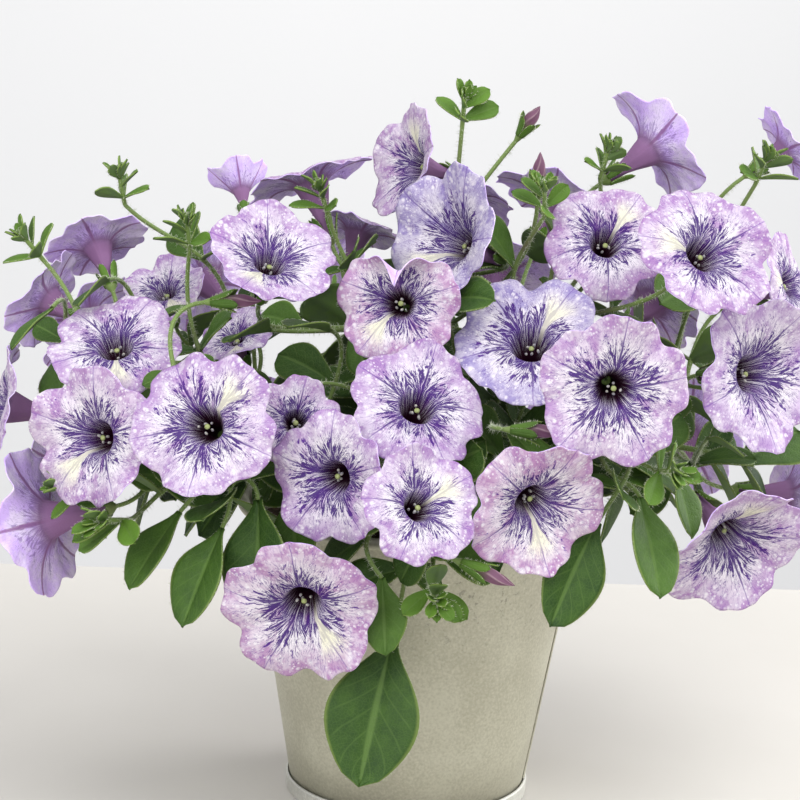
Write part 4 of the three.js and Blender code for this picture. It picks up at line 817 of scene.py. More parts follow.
# Leafy shoot tips, big single leaves and closed buds, seen from the front like the blooms.
TIPS = rows("on column row y turn lift size", (
    ("front", 430, 585, -104, 10, -10, 16), ("front_left", 128, 520, -92, -40, 10, 19),
    ("left", 88, 495, -78, -60, 20, 15), ("left", 45, 262, -30, -70, 50, 15),
    ("front_left", 190, 250, -40, -10, 65, 15), ("back_left", 125, 205, 10, -40, 75, 14),
    ("crown_left", 462, 128, -20, 10, 75, 15), ("crown_right", 545, 215, -40, -10, 60, 14),
    ("crown_right", 600, 178, 0, 40, 70, 13), ("back_right", 755, 185, 0, 40, 65, 16),
    ("front_right", 655, 470, -92, 30, 10, 17), ("crown_left", 328, 215, -5, -40, 65, 14),
))
BIG_LEAVES = rows("on column row y turn lift length width", (
    ("front", 392, 640, -98, -28, -62, 50, 37), ("front_right", 598, 522, -92, -30, -48, 40, 26),
    ("front_right", 640, 498, -84, 20, -50, 36, 24), ("front_left", 222, 528, -92, -30, -55, 36, 24),
    ("front_left", 258, 500, -88, 5, -66, 42, 30), ("left", 108, 280, -42, -20, -4, 26, 15),
    ("left", 52, 308, -48, -50, -30, 22, 14), ("front", 382, 578, -104, 10, -60, 26, 18),
    ("right", 708, 438, -58, 40, 0, 20, 11), ("front_left", 330, 330, -52, -10, 20, 30, 18),
    ("front_left", 290, 496, -78, 36, -55, 32, 22), ("front_left", 180, 512, -80, -55, -45, 32, 21),
    ("front_right", 572, 476, -84, 12, -52, 36, 24), ("front", 318, 384, -64, -20, 0, 32, 22),
    ("right", 676, 470, -70, 40, -50, 32, 21), ("crown_left", 270, 330, -46, -30, 10, 30, 19),
    ("front", 446, 300, -54, 20, 30, 28, 18),
))
BUDS = rows("on column row y turn lift length", (
    ("crown_left", 520, 135, -20, 60, 55, 15), ("crown_left", 538, 195, -30, 0, 80, 18),
    ("left", 32, 245, -20, -60, 60, 14), ("front_left", 212, 302, -74, 80, 5, 20),
    ("front_right", 512, 430, -96, 75, 2, 20), ("front", 462, 563, -117, 75, -18, 22),
))

# The plant's outer room, as balls in millimetres kept by cubic cells. What grows later keeps clear of them.
CELL = 8
CLEAR = 1
LIMB_BALL = 3.2
LIMB_BALLS = ((0.1, 8), (0.4, 12), (0.7, 18), (1, 25))
TUBE_BALLS = ((-0.15, 6), (-0.35, 4.5), (-0.6, 3.4), (-0.8, 3), (-1, 2.6))
cells = {}


def cell_of(spot):
    return tuple(floor(value / CELL) for value in spot)


def stand(spot, radius, owner):
    cells.setdefault(cell_of(spot), []).append((spot, radius, owner))


def in_pot(spot, radius):
    reach = hypot(spot[0], spot[1]) - radius
    return spot[2] - radius < POT_HEIGHT + CLEAR and reach < pot_radius(spot[2]) + 2 * RIM_BEAD_RADIUS


def meets(spot, radius, spared=()):
    if in_pot(spot, radius):
        return True
    for cell in itertools.product(*((n - 1, n, n + 1) for n in cell_of(spot))):
        for centre, size, owner in cells.get(cell, ()):
            room = size + radius
            dx, dy, dz = centre[0] - spot[0], centre[1] - spot[1], centre[2] - spot[2]
            if dx * dx + dy * dy + dz * dz < room * room and owner not in spared:
                return True
    return False


def around(count):
    return [tau * i / count for i in range(count)]


def stand_bloom(bloom):
    for q, count in LIMB_BALLS:
        for turn in around(count):
            stand(bloom_point(bloom, turn, *limb_spot(bloom, turn, q)), LIMB_BALL, bloom.name)
    for height, radius in TUBE_BALLS:
        stand(bloom_point(bloom, 0, 0, height * bloom.tube), radius, bloom.name)


HOLE_DEPTH = 14
STEM_RADIUS, STEM_TIP_RADIUS, STALK_RADIUS = 1.7, 1.1, 0.95
NODE_LENGTH = 3
STEM_STEPS, STEM_SIDES, STALK_SIDES = 7, 5, 3
PACE = 3
FINE = 200


def squared(side, along):
    return unit(side + along * -(side @ along))


def corner_ring(spot, along, side, radius, sides):
    first = squared(side, along)
    second = cross(along, first)
    return [
        spot + first * (radius * cos(turn)) + second * (radius * sin(turn)) for turn in around(sides)
    ]


def way_along(line, i):
    return unit(line[min(i + 1, len(line) - 1)] - line[max(i - 1, 0)])


def grow_along(shoot, places, radii, sides, side):
    """Adds a leaf node at each place that has a level, with a slot for a leaf or a stalk on each of its sides."""
    line = [place.point for place in places]
    for i, place in enumerate(places):
        along, spot = way_along(line, i), place.point
        side = squared(side, along)
        if place.level:
            near, middle, far = (
                corner_ring(spot + along * (step * NODE_LENGTH), along, side, radii[i], sides)
                for step in (-0.5, 0.0, 0.5)
            )
            slots = []
            for k in range(sides):
                n = (k + 1) % sides
                a, b, c, d = near[k], near[n], far[k], far[n]
                plump = cross(b - a, c - a) @ (d - a) > -1e-4
                out = (middle[k] + middle[n]) * 0.5 - spot
                slots.append(Thing(out=unit(out), face=(a, b, d if plump else c), used=False))
            shoot.nodes.append(Thing(point=spot, along=along, level=place.level, slots=slots))
    return side


def free_slots(node):
    return [slot for slot in node.slots if not slot.used]


def open_face(node, direction):
    slot = max(free_slots(node), key=lambda one: one.out @ direction)
    slot.used = True
    return slot.face


def curve_at(knots, t):
    """A point of the smooth curve through the knots."""
    p = (len(knots) - 1) * t
    i = min(int(p), len(knots) - 2)
    w = p - i
    p1, p2 = knots[i], knots[i + 1]
    p0 = knots[i - 1] if i > 0 else knots[0] + (knots[0] - knots[1])
    p3 = knots[i + 2] if i + 2 < len(knots) else knots[-1] + (knots[-1] - knots[-2])
    d0, d1, d2 = (((a - b) @ (a - b)) ** 0.25 for a, b in ((p0, p1), (p1, p2), (p2, p3)))
    out = []
    for x0, x1, x2, x3 in zip(p0, p1, p2, p3):
        t1 = ((x1 - x0) / d0 - (x2 - x0) / (d0 + d1) + (x2 - x1) / d1) * d1
        t2 = ((x2 - x1) / d1 - (x3 - x1) / (d1 + d2) + (x3 - x2) / d2) * d1
        out.append(x1 + t1 * w + (-3 * x1 + 3 * x2 - 2 * t1 - t2) * w * w + (2 * x1 - 2 * x2 + t1 + t2) * w ** 3)
    return Spot(out)


def spaced_points(knots, count):
    """Points evenly spaced along the smooth curve through the knots."""
    fine = [curve_at(knots, i / FINE) for i in range(FINE + 1)]
    lengths = [0.0]
    for a, b in zip(fine, fine[1:]):
        lengths.append(lengths[-1] + size_of(a - b))
    made = []
    for step in range(count + 1):
        target = step / count * lengths[-1]
        i = max(k for k, length in enumerate(lengths) if length <= target)
        share = 0 if i == FINE else (target - lengths[i]) / (lengths[i + 1] - lengths[i])
        made.append(curve_at(knots, (i + share) / FINE))
    return made


def paced_along(line):
    out = []
    for a, b in zip(line, line[1:]):
        count = ceil(size_of(a - b) / PACE)
        out += [a + (b - a) * ((k + 1) / count) for k in range(count)]
    return out


def stand_along(line, radius, owner):
    for spot in paced_along(line):
        stand(spot, radius, owner)


def grow_stem(spec):
    out = aim(spec.turn, 0)
    x, y = out[0] * spec.root, out[1] * spec.root
    line = [Spot((x, y, SOIL_CROWN + 3))]
    for i, (reach, height) in enumerate(spec.line):
        sway = (i + 1) * drawn((-1.5, 1.5), spec.turn + i)
        line.append(Spot((out[0] * reach + out[1] * sway, out[1] * reach - out[0] * sway, height)))
    line[1:] = spaced_points(line, STEM_STEPS)[1:]
    places = [Thing(point=spot, level="stem" if k else "") for k, spot in enumerate(line)]
    radii = [STEM_RADIUS + (STEM_TIP_RADIUS - STEM_RADIUS) * i / STEM_STEPS for i in range(len(line))]
    root = Spot((x, y, soil_height(x, y) - HOLE_DEPTH))
    shoot = Thing(name=spec.name, root=root, stem=line, nodes=[], stalks=[], cups=[], leaves=[], buds=[], tips=[])
    grow_along(shoot, places, radii, STEM_SIDES, Spot((0.3, 1, 0)))
    stand_along(line, STEM_RADIUS + 0.8, shoot.name)
    return shoot


BOWS = (0, 0.16, -0.16, 0.32, -0.32, 0.5, -0.5)
WAYS_TRIED = 14
SHORTEST_RUN, SHARPEST_BEND = 5, 1.05
START_ROOM, END_ROOM = 6.5, 12
STALK_STEPS = 4
LEAST_LEVEL, LEAST_FACING = 0.8, 0.5


def bezier(ends, t):
    k = 1 - t
    return Spot(
        k * k * k * w + 3 * k * k * t * x + 3 * k * t * t * y + t * t * t * z for w, x, y, z in zip(*ends)
    )


def stalk_ends(node, to, arrive, bow):
    point, along = node.point, node.along
    span = size_of(point - to)
    lean = unit(squared(to - point, along) + along * 0.5 + UP * 0.3)
    first = point + lean * (span * 0.35) + bow * span
    return point, first, to + arrive * (-span * 0.4) + bow * (span * 0.6), to


def is_smooth(line):
    runs = [b - a for a, b in zip(line, line[1:])]
    if any(run @ run <= SHORTEST_RUN ** 2 for run in runs):
        return False
    return all(acos(max(-1, min(1, unit(a) @ unit(b)))) < SHARPEST_BEND for a, b in zip(runs, runs[1:]))


def is_clear(line, owner, own):
    """Whether a stalk runs smooth and free, but for its own shoot near its start and its own bloom near its end."""
    if not is_smooth(line):
        return False
    for spot in paced_along(line):
        near_start, near_end = size_of(spot - line[0]) < START_ROOM, size_of(spot - line[-1]) < END_ROOM
        if meets(spot, STALK_RADIUS + CLEAR, (owner if near_start else "", own if near_end else "")):
            return False
    return True


def has_face_for(node, direction):
    level = squared(direction, node.along)
    return any(slot.out @ level > LEAST_LEVEL and slot.out @ direction > LEAST_FACING for slot in free_slots(node))


def find_stalk(shoot, to, arrive, own):
    """The first way from a stem node to a bloom, bud, tip or leaf that is clear, the nearest nodes tried first."""
    aim_for = to + arrive * -28 + UP * -8
    starts = [node for node in shoot.nodes if node.level == "stem" and free_slots(node)]
    starts.sort(key=lambda node: size_of(node.point - aim_for))
    side = unit(cross(arrive, UP))
    for node, up, across in itertools.product(starts[:WAYS_TRIED], BOWS, BOWS):
        ends = stalk_ends(node, to, arrive, side * across + UP * up)
        line = [bezier(ends, i / STALK_STEPS) for i in range(STALK_STEPS + 1)]
        leaving = unit(line[1] - line[0])
        if has_face_for(node, leaving) and is_clear(line, shoot.name, own):
            return node, line, leaving, ends
    return None


def grow_stalk(shoot, to, arrive, own=""):
    way = find_stalk(shoot, to, arrive, own)
    if not way:
        return None
    node, line, leaving, ends = way
    base = open_face(node, leaving)
    places = [Thing(point=spot, level="stalk" if k == 1 else "") for k, spot in enumerate(line[1:])]
    stand_along(line, STALK_RADIUS + 0.6, shoot.name)
    shoot.stalks.append(ends)
    middle = (base[0] + base[1] + base[2]) * (1 / 3)
    return grow_along(shoot, places, [STALK_RADIUS] * STALK_STEPS, STALK_SIDES, base[0] - middle)


def add_cup(shoot, mouth, axis, side, **sizes):
    first = squared(side, axis)
    shoot.cups.append(Thing(mouth=mouth, axis=axis, first=first, second=cross(axis, first), **sizes))
    return shoot.cups[-1]


def grow_calyx(shoots, bloom):
    low = -bloom.tube - 0.3
    seat = bloom_point(bloom, 0, 0, low - 3)
    meant = [shoot for shoot in shoots if shoot.name == bloom.on]
    for shoot in meant + shoots:
        side = grow_stalk(shoot, seat, bloom.axis, bloom.name)
        if side:
            radius = bloom.radius
            add_cup(shoot, bloom.mouth, bloom.axis, side, rim=0.12 * radius, low=low,
                    spread=0.25 * radius, length=0.42 * radius, seed=bloom.seed)
            return


def grow_bud(shoot, spec, index):
    foot, axis, length = seen_at(spec), aim_of(spec), spec.length
    side = grow_stalk(shoot, foot + axis * -3, axis)
    if not side:
        return
    cup = add_cup(shoot, foot, axis, side, rim=1.7, low=0.0, spread=5.0, length=0.55 * length, seed=90 + index)
    shoot.buds.append(Thing(**vars(cup), bud=length))
    for share in (0.2, 0.5, 0.9):
        stand(bloom_point(cup, 0, 0, share * length), 4, shoot.name)


SIDE_LEAF_SECTIONS = ((0.34, 0.7), (0.76, 1))
BIG_LEAF_SECTIONS = ((0.26, 0.6), (0.58, 1), (0.87, 0.72))
SMALL_LEAF = 24
DROOP, SMALL_DROOP = 0.18, 0.05
LEAF_CUP, LEAF_BALL, LEAF_PACE, LEAF_NECK = 0.12, 1.65, 4.5, 0.15
FACES_OUT, LEAST_TILT = 1.2, 0.35
LEAF_SIZES = (1, 0.75, 0.55)
TIP_NODES = (3.5, 8.5, 13)
LONGEST_LEAF = {"stem": 38, "stalk": 29}
STALK_LEAF_SHARE = 0.82
LEAVES_AT_NODE = 3


def leaf_side(base, along):
    """The direction across a blade, which turns its face to the sky and the outside of the plant."""
    light = unit(UP + unit(Spot((base[0], base[1], 0.0))) * FACES_OUT)
    side = cross(along, light)
    return unit(side) if size_of(side) > LEAST_TILT else unit(cross(along, UP))


def leaf_at(base, along, length, width, kind):
    side = leaf_side(base, along)
    droop = SMALL_DROOP if length < SMALL_LEAF and kind != "big" else DROOP
    return Thing(base=base, along=along, side=side, face=cross(side, along), length=length, width=width,
                 droop=droop, kind=kind)


def rib_point(leaf, u):
    spot = leaf.base + leaf.along * (leaf.length * u)
    return spot + UP * (-leaf.droop * leaf.length * u * u)


def half_width(leaf, u):
    outline = ((0, LEAF_NECK), *(BIG_LEAF_SECTIONS if leaf.kind == "big" else SIDE_LEAF_SECTIONS), (1, 0))
    k = next(i for i, (end, _) in enumerate(outline) if end >= u)
    (u0, s0), (u1, s1) = outline[k - 1], outline[k]
    return leaf.width / 2 * (s0 + (s1 - s0) * (u - u0) / (u1 - u0))


def leaf_balls(leaf):
    rows_along = ceil(leaf.length / LEAF_PACE)
    for i in range(rows_along):
        u = (i + 1) / rows_along
        half = half_width(leaf, u)
        steps = ceil(half / LEAF_PACE)
        for k in range(2 * steps + 1):
            across = half * (k - steps) / steps if steps > 0 else 0
            yield rib_point(leaf, u) + leaf.side * across + leaf.face * (abs(across) * LEAF_CUP)


def leaf_is_clear(leaf):
    return not any(meets(ball, LEAF_BALL) for ball in leaf_balls(leaf))


def add_leaf(shoot, leaf):
    for ball in leaf_balls(leaf):
        stand(ball, LEAF_BALL, shoot.name)
    shoot.leaves.append(leaf)


def grow_big_leaf(shoot, spec):
    base = seen_at(spec)
    for size, lift, turn in itertools.product(LEAF_SIZES, (0, -12, 12), (0, 12, -12, 24, -24)):
        along = aim(spec.turn + turn, spec.lift + lift)
        leaf = leaf_at(base, along, size * spec.length, size * spec.width, "big")
        if leaf_is_clear(leaf) and grow_stalk(shoot, base, along):
            add_leaf(shoot, leaf)
            return


def grow_tip(shoot, spec):
    end, axis = seen_at(spec), aim_of(spec)
    side = grow_stalk(shoot, end, axis)
    if not side:
        return
    known = len(shoot.nodes)
    places = [Thing(point=end + axis * step, level="tip") for step in TIP_NODES]
    grow_along(shoot, places, [STALK_RADIUS] * 3, STALK_SIDES, side)
    for tier, node in enumerate(shoot.nodes[known:]):
        for i, slot in enumerate(node.slots):
            along = on_circle(axis, slot.out, 1.2 - 0.3 * tier - 0.08 * i)
            length = spec.size * (1.1 - 0.2 * tier - 0.06 * i)
            leaf = leaf_at(node.point, along, length, length * 0.5, "tip")
            if leaf_is_clear(leaf):
                open_face(node, slot.out)
                add_leaf(shoot, leaf)
    shoot.tips.append(Thing(end=end, axis=axis, size=spec.size))


def grow_side_leaf(shoot, node, longest, seed):
    free = free_slots(node)
    start = floor(len(free) * noise(seed))
    leans, swings = (0.35, 0.7, 0, 1.1), (0, 0.35, -0.35)
    for size, lean, swing, k in itertools.product(LEAF_SIZES, leans, swings, range(len(free))):
        slot = free[(start + k) % len(free)]
        across = cross(node.along, slot.out)
        along = unit(slot.out + node.along * lean + across * swing)
        length = longest * size
        width = length * drawn((0.6, 0.74), seed + 0.5)
        leaf = leaf_at(node.point, along, length, width, node.level)
        if abs(along[2]) < 0.9 and leaf_is_clear(leaf):
            open_face(node, slot.out)
            add_leaf(shoot, leaf)
            return


def grow_shoots():
    shoots = [grow_stem(spec) for spec in SHOOTS]
    on = {shoot.name: shoot for shoot in shoots}
    for bloom in blooms:
        grow_calyx(shoots, bloom)
    for spec in BIG_LEAVES:
        grow_big_leaf(on[spec.on], spec)
    for index, spec in enumerate(BUDS):
        grow_bud(on[spec.on], spec, index)
    for spec in TIPS:
        grow_tip(on[spec.on], spec)
    for index, shoot in enumerate(shoots):
        for turn in range(LEAVES_AT_NODE):
            for i, node in enumerate(shoot.nodes):
                seed, level = 1000 * turn + 60 * index + i, node.level
                if level == "stem" or (level == "stalk" and noise(seed + 0.3) < STALK_LEAF_SHARE):
                    grow_side_leaf(shoot, node, LONGEST_LEAF[level] * drawn((0.8, 1.15), seed), seed)
    return shoots


for bloom in blooms:
    stand_bloom(bloom)
shoots = grow_shoots()

HAIR_WIDTH = 0.1
STEM_HAIRS, TUFT_HAIRS, SEPAL_HAIRS = 420, 110, 26
HAIRS_PER_STALK_MM, HAIRS_PER_LEAF_MM = 3.4, 2.4
STEM_DOWN, STALK_DOWN = 1.5, 2.0
STALK_SMOOTH, STEM_SMOOTH = 22, 60
STEM_CORNERS, STALK_CORNERS = 12, 9
STEM_END = 5
TUFT_STEPS, TUFT_RADII = (0, 4, 8, 12, 16, 18), (0.95, 1.0, 1.0, 0.95, 0.6, 0.1)
NODE_SWELL, SWELL_LENGTH = 0.35, 0.03
SEPAL_WIDTH = 3.7
LEAF_SHEET, SEPAL_SHEET = 0.6, 0.4
BIG_GRID, SMALL_GRID, CUP_GRID, SEPAL_GRID, BUD_GRID = (12, 18), (8, 12), (15, 5), (4, 9), (40, 18)
FOLDED_LEAVES = 6


def with_layer(name):
    bm = bmesh.new()
    bm.verts.layers.float.new(name)
    return bm


def fill_layer(bm, corners, value):
    """Gives corners a value in the mesh's only layer, for its material to read."""
    layer = bm.verts.layers.float[0]
    for vert in corners:
        vert[layer] = value


def carried(line):
    """Frames along a line that turn as little as they can: spot, way, and two directions square to it."""
    frames, side = [], Spot((0.3, 1.0, 0.2))
    for i, spot in enumerate(line):
        along = way_along(line, i)
        side = squared(side, along)
        frames.append((spot, along, side, cross(along, side)))
    return frames


def tube(bm, line, radii, sides, age):
    frames = carried(line)
    last = len(line) - 1

    def place(a, b):
        i = round(b * last)
        spot, _, side, other = frames[i]
        return spot + on_circle(side, other, tau * a) * radii[i]

    fill_layer(bm, grid(bm, sides, last, place, closed=True), age)
    return frames


def hair(bm, spot, way, length, width=HAIR_WIDTH):
    """One tapering hair of three narrow faces."""
    first, second = square_to(way, 0.4)
    foot = [bm.verts.new(Vector(spot + on_circle(first, second, turn) * width) * MM) for turn in (0, 2.1, 4.2)]
    tip = bm.verts.new(Vector(spot + way * length) * MM)
    for i in range(3):
        bm.faces.new((foot[i], foot[(i + 1) % 3], tip))


def downy(bm, frames, radii, count, seed, length):
    """Hairs that stand off a stem all round."""
    for k in range(count):
        i = min(int(noise(seed + k * 1.31) * (len(frames) - 1)), len(frames) - 2)
        here, along, side, other = frames[i]
        spot = here + (frames[i + 1][0] - here) * noise(seed + k * 2.17)
        out = on_circle(side, other, tau * noise(seed + k * 3.71))
        way = unit(out + along * drawn((-0.35, 0.35), seed + k) + UP * -0.1)
        hair(bm, spot + out * (radii[i] * 0.9), way, length * drawn((0.6, 1.2), seed + k * 1.9))


def stem_radii(count, low, high, swellings):
    shares = [i / (count - 1) for i in range(count)]
    return [
        low + (high - low) * share + NODE_SWELL * sum(bump(share - at, SWELL_LENGTH) for at in swellings)
        for share in shares
    ]


def grow_stems(shoot, green, down):
    stem = shoot.stem
    tip = stem[-1] + unit(stem[-1] - stem[-2]) * STEM_END
    line = [shoot.root] + spaced_points(stem, STEM_SMOOTH) + [tip]
    swellings = [i / STEM_STEPS for i in range(1, STEM_STEPS + 1)]
    radii = stem_radii(len(line), STEM_RADIUS, STEM_TIP_RADIUS, swellings)
    radii[-1] = 0.1
    frames = tube(green, line, radii, STEM_CORNERS, 0.0)
    downy(down, frames[8:], radii[8:], STEM_HAIRS, len(shoot.name) + 3.3, STEM_DOWN)
    for index, ends in enumerate(shoot.stalks):
        line = [bezier(ends, i / STALK_SMOOTH) for i in range(STALK_SMOOTH + 1)]
        radii = stem_radii(len(line), STALK_RADIUS * 1.05, STALK_RADIUS * 0.95, (0.5,))
        frames = tube(green, line, radii, STALK_CORNERS, 0.35 + 0.65 * noise(index + ends[3][0]))
        count = int(size_of(ends[0] - ends[3]) * HAIRS_PER_STALK_MM)
        downy(down, frames[2:], radii[2:], count, index * 7.7 + ends[3][2], STALK_DOWN)


def grow_tuft(tip, green, blades, down):
    """The last of a stem, which its small leaves sit round, with the smallest still folded together at its end."""
    end, axis = tip.end, tip.axis
    line = [end + axis * step for step in TUFT_STEPS]
    downy(down, tube(green, line, TUFT_RADII, STALK_CORNERS, 0.1), TUFT_RADII, TUFT_HAIRS, end[0], STEM_DOWN)
    for k in range(FOLDED_LEAVES):
        seed = end[2] + 3.1 * k
        first, _ = square_to(axis, 2.4 * k + end[2])
        lean = unit(axis + first * drawn((0.2, 0.75), seed))
        length = tip.size * drawn((0.45, 0.7), seed + 0.5)
        leaf = leaf_at(line[3] + first * 0.5, lean, length, length * 0.45, "tip")
        grow_leaf(leaf, seed, blades, down)


def sepal_place(cup, lobe, tip_rho, tip_height, width):
    """A narrow sepal from the cup's rim to its tip, a little broader and rounded near the end."""
    turn = lobe * LOBE_TURN
    rim, foot = cup.rim, cup.low - 0.4

    def place(a, b):
        rho = rim + (tip_rho - rim) * (0.35 * b + 0.65 * b * b)
        share = (0.55 + 0.45 * sin(pi * min(b * 0.8, 1))) * sqrt(max(1 - b ** 8, 0))
        keel = 0.28 * width * share * (1 - (2 * a - 1) ** 2)
        spot = bloom_point(cup, turn, rho + keel * 0.6, foot + (tip_height - foot) * b)
        return spot + on_circle(cup.first, cup.second, turn + pi / 2) * ((a - 0.5) * width * share)

    return place


def grow_cup(cup, green, sepals, down):
    """A small green cup under the bloom, with its five sepals."""
    low, rim, seed = cup.low, cup.rim, cup.seed

    def cup_place(a, b):
        rho = STALK_RADIUS + (rim - STALK_RADIUS) * sin(b * pi / 2) ** 1.2
        return bloom_point(cup, tau * a, rho, low - 3.2 + 3.4 * b)

    fill_layer(green, grid(green, *CUP_GRID, cup_place, closed=True), 0.9)
    for i in range(5):
        reach = cup.spread * drawn((0.85, 1.15), seed * 5 + i)
        height = low + cup.length * drawn((0.85, 1.1), seed * 5 + i + 0.5)
        place = sepal_place(cup, i, reach, height, SEPAL_WIDTH * drawn((0.85, 1.15), seed + i))
        fill_layer(sepals, grid(sepals, *SEPAL_GRID, place), drawn((0.35, 0.8), seed * 3 + i))
        for k in range(SEPAL_HAIRS):
            share = drawn((0.05, 1.0), k + i * 27 + seed)
            spot = place(k % 2, share)
            centre = bloom_point(cup, i * LOBE_TURN, 0, height * share + low * (1 - share))
            hair(down, spot, unit(spot - centre + cup.axis * 0.6), drawn((0.6, 1.2), k + i))


def bud_place(cup):
    """A rolled corolla: a ribbed spindle, twisted and pleated to a blunt tip."""
    def place(a, b):
        swell = 0.75 + 0.55 * sin(pi * min(b / 0.9, 1) ** 1.4)
        rho = (2.0 * swell * (1 - b ** 7) + 0.05) * (1 + 0.14 * b * cos(10 * pi * a))
        return bloom_point(cup, tau * a + 1.6 * b * b, rho, cup.bud * b)

    return place


# Rows of side veins on a blade, how far each slants to the tip, and how its slant eases off outwards.
VEIN_ROWS, VEIN_SLANT, VEIN_EASE = 6.5, 0.32, 0.8
# A blade's waved edge as a share of its half width, and its quilting and sunk midrib as shares of its length.
LEAF_WAVE, LEAF_QUILT, LEAF_KEEL = 0.035, 0.012, 0.018
# How fresh each kind of blade is. Young tip leaves are paler green, and the leaves on the stems deep inside the plant
# are darker, as painted shade.
LEAF_TONES_AND_PAINTED_SHADE = {"big": 0.22, "stem": 0.12, "stalk": 0.26, "tip": 0.7}


def leaf_outline(u, big):
    """Half width of a blade as a share of its widest: big leaves are egg-shaped, small ones spoon-shaped."""
    broad = max(sin(pi * min(max(u, 0.0), 1.0) ** (1.27 if big else 1.7)), 0.0)
    return broad ** (1.25 - 0.7 * u if big else 0.66 - 0.16 * u) * 0.98 + LEAF_NECK * (1 - u) ** 2


def leaf_place(leaf, seed):
    """The blade by its width and its length, cupped along the midrib and quilted between the veins."""
    half, length = leaf.width / 2, leaf.length
    twist = drawn((-0.25, 0.25), seed)

    def place(a, u):
        w = 2 * a - 1
        across = half * leaf_outline(u, leaf.kind == "big") * w * (1 - 0.02 * sin(9 * u + seed))
        rise = abs(across) * (LEAF_CUP + 0.1 * sin(pi * u))
        rise += LEAF_WAVE * half * sin(7 * u + seed + 2.2 * w) * w * w
        slant = u - VEIN_SLANT * abs(w) ** VEIN_EASE
        quilt = abs(sin(pi * VEIN_ROWS * slant))
        rise += LEAF_QUILT * length * quilt * (0.2 + abs(w)) * (1 - abs(w) ** 3) - LEAF_KEEL * length * bump(w, 0.1)
        return rib_point(leaf, u) + leaf.side * across + leaf.face * (rise + twist * across * u * 0.6)

    return place


def grow_leaf(leaf, seed, blades, down):
    place = leaf_place(leaf, seed)
    made = grid(blades, *(BIG_GRID if leaf.length > SMALL_LEAF else SMALL_GRID), place)
    fill_layer(blades, made, LEAF_TONES_AND_PAINTED_SHADE[leaf.kind] + drawn((-0.12, 0.16), seed * 1.7))
    for k in range(int(leaf.length * HAIRS_PER_LEAF_MM)):
        share = drawn((0.03, 0.99), seed * 3.1 + k)
        edge = k % 2
        spot = place(edge, share)
        outwards = unit(spot - place(0.8 if edge else 0.2, share) + Spot((0.0, 0.0, 1e-4)))
        way = unit(outwards + leaf.along * drawn((0.1, 0.9), k))
        hair(down, spot, way, drawn((0.6, 1.3), k + seed), HAIR_WIDTH * 0.8)


# The darkest leaf green is painted shade, taken most by the leaves deep inside the plant.
LEAF_DEEP_PAINTED_SHADE = (0.014, 0.046, 0.005, 1)
LEAF_FRESH = (0.120, 0.245, 0.024, 1)
LEAF_EDGE = (0.26, 0.34, 0.09, 1)
LEAF_VEIN = (0.12, 0.21, 0.045, 1)
LEAF_UNDER = (0.10, 0.16, 0.06, 1)
STEM_GREEN = (0.155, 0.235, 0.055, 1)
STEM_PURPLE = (0.12, 0.07, 0.06, 1)
DOWN_COLOURS = ((0.72, 0.76, 0.60, 1), (0.5, 0.56, 0.36, 1))
BUD_GREEN = (0.25, 0.26, 0.12, 1)
BUD_PURPLE = (0.15, 0.06, 0.11, 1)
BUD_RIB = (0.42, 0.30, 0.32, 1)


def leaf_face():
    paint = Paint("leaf_face")
    across, along = paint.corners()
    aside = abs(across - 0.5) * 2.0
    rib = paint.ramp(aside, 0.03, 0.11, 1, 0)
    vein_rows = (along - aside ** VEIN_EASE * VEIN_SLANT) * VEIN_ROWS + (paint.noise(160, 2) - 0.5) * 0.12
    row = abs(paint.sum("FRACT", vein_rows + 0.5) - 0.5)
    side = paint.ramp(row, 0.02, 0.09, 1, 0) * paint.ramp(aside, 0.75, 0.98, 1, 0)
    net = paint.ramp(paint.cells(700, "DISTANCE_TO_EDGE"), 0.02, 0.12, 1, 0)
    fine = paint.noise(1600, 2)
    # Painted shade: a low value darkens the blade to deep green, most on the leaves deep inside the plant.
    freshness_and_shade = paint.sum("ADD", paint.attribute("tone"), (paint.noise(130, 4) - 0.5) * 0.5, clamp=True)
    veins = paint.sum("MAXIMUM", rib * 0.55, side * 0.22)
    veins = paint.sum("MAXIMUM", veins, net * 0.12)
    colour = paint.mix(veins, paint.mix(freshness_and_shade, LEAF_DEEP_PAINTED_SHADE, LEAF_FRESH), LEAF_VEIN)
    colour = paint.mix(paint.ramp(aside, 0.9, 0.99) * 0.5, colour, LEAF_EDGE)
    roughness = paint.ramp(fine, 0.3, 0.7, 0.5, 0.65)
    relief = fine * 0.4 - (veins + net)
    return paint.finished(colour, roughness, relief, 0.3, 0.0005, {"Specular IOR Level": 0.3})


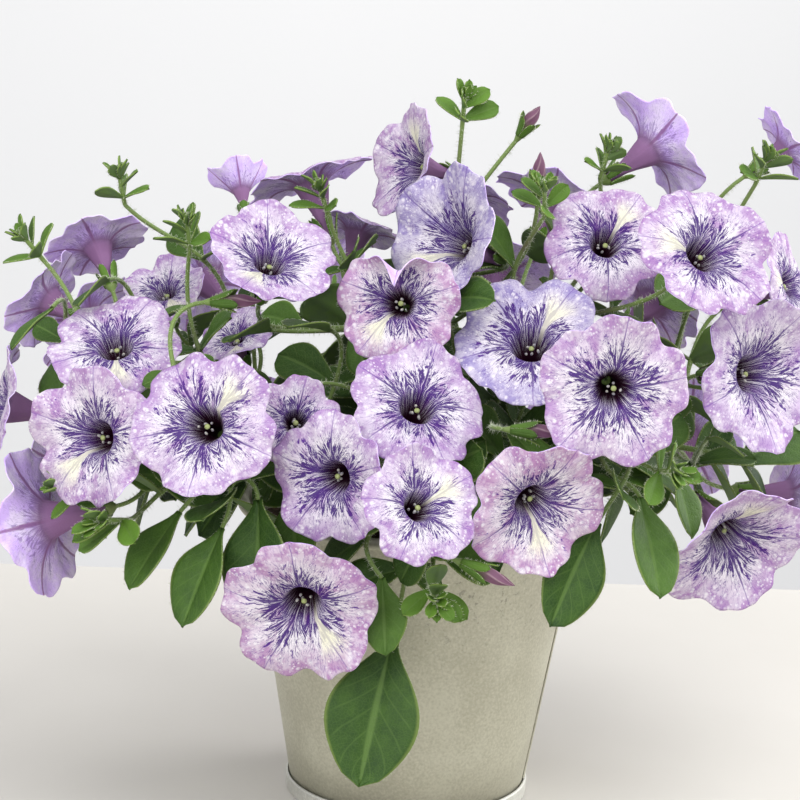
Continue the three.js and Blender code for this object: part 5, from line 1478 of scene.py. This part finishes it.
def leaf_back():
    paint = Paint("leaf_back")
    colour = paint.mix(paint.ramp(paint.noise(150, 4), 0.3, 0.7), LEAF_UNDER, LEAF_VEIN)
    return paint.finished(colour, 0.75, paint.noise(1300, 2), 0.2, 0.0004)


def stem_skin():
    paint = Paint("stem_skin")
    patch = paint.ramp(paint.noise(60, 3), 0.48, 0.72, 0, 0.6)
    colour = paint.mix(patch * paint.ramp(paint.attribute("age"), 0.2, 1.0), STEM_GREEN, STEM_PURPLE)
    sheen = {"Sheen Weight": 0.6, "Sheen Roughness": 0.35}
    return paint.finished(colour, 0.6, paint.noise(1500, 2), 0.25, 0.0003, sheen)


def down_paint():
    paint = Paint("down")
    return paint.finished(paint.mix(paint.noise(300, 2), *DOWN_COLOURS), 0.5)


def bud_paint():
    paint = Paint("bud")
    across, along = paint.corners()
    rib = paint.ramp(abs(paint.sum("FRACT", across * 5) - 0.5), 0.3, 0.5)
    ground = paint.mix(paint.ramp(along, 0.1, 0.6), BUD_GREEN, BUD_PURPLE)
    return paint.finished(paint.mix(rib * paint.noise(500, 3), ground, BUD_RIB), 0.7, rib, 0.3, 0.0005)


leaf_paints = [leaf_face(), leaf_back()]
stem_paint, hair_paint, rolled_paint = stem_skin(), down_paint(), bud_paint()
for shoot in shoots:
    name, node = shoot.name, "shoot_" + shoot.name
    green, blades, sepals, down = with_layer("age"), with_layer("tone"), with_layer("tone"), bmesh.new()
    grow_stems(shoot, green, down)
    for cup in shoot.cups:
        grow_cup(cup, green, sepals, down)
    for tip in shoot.tips:
        grow_tuft(tip, green, blades, down)
    for index, leaf in enumerate(shoot.leaves):
        grow_leaf(leaf, index + 31 * len(name), blades, down)
    face_out(green)
    piece_of("stems_" + name, green, [stem_paint], node)
    thin_sheet(piece_of("leaves_" + name, blades, leaf_paints, node), LEAF_SHEET, 0)
    if shoot.cups:
        thin_sheet(piece_of("sepals_" + name, sepals, leaf_paints, node), SEPAL_SHEET, 0)
    piece_of("down_" + name, down, [hair_paint], node)
    for index, cup in enumerate(shoot.buds):
        rolled = bmesh.new()
        grid(rolled, *BUD_GRID, bud_place(cup), closed=True)
        face_out(rolled)
        piece_of(f"bud_{name}_{index}", rolled, [rolled_paint], node)
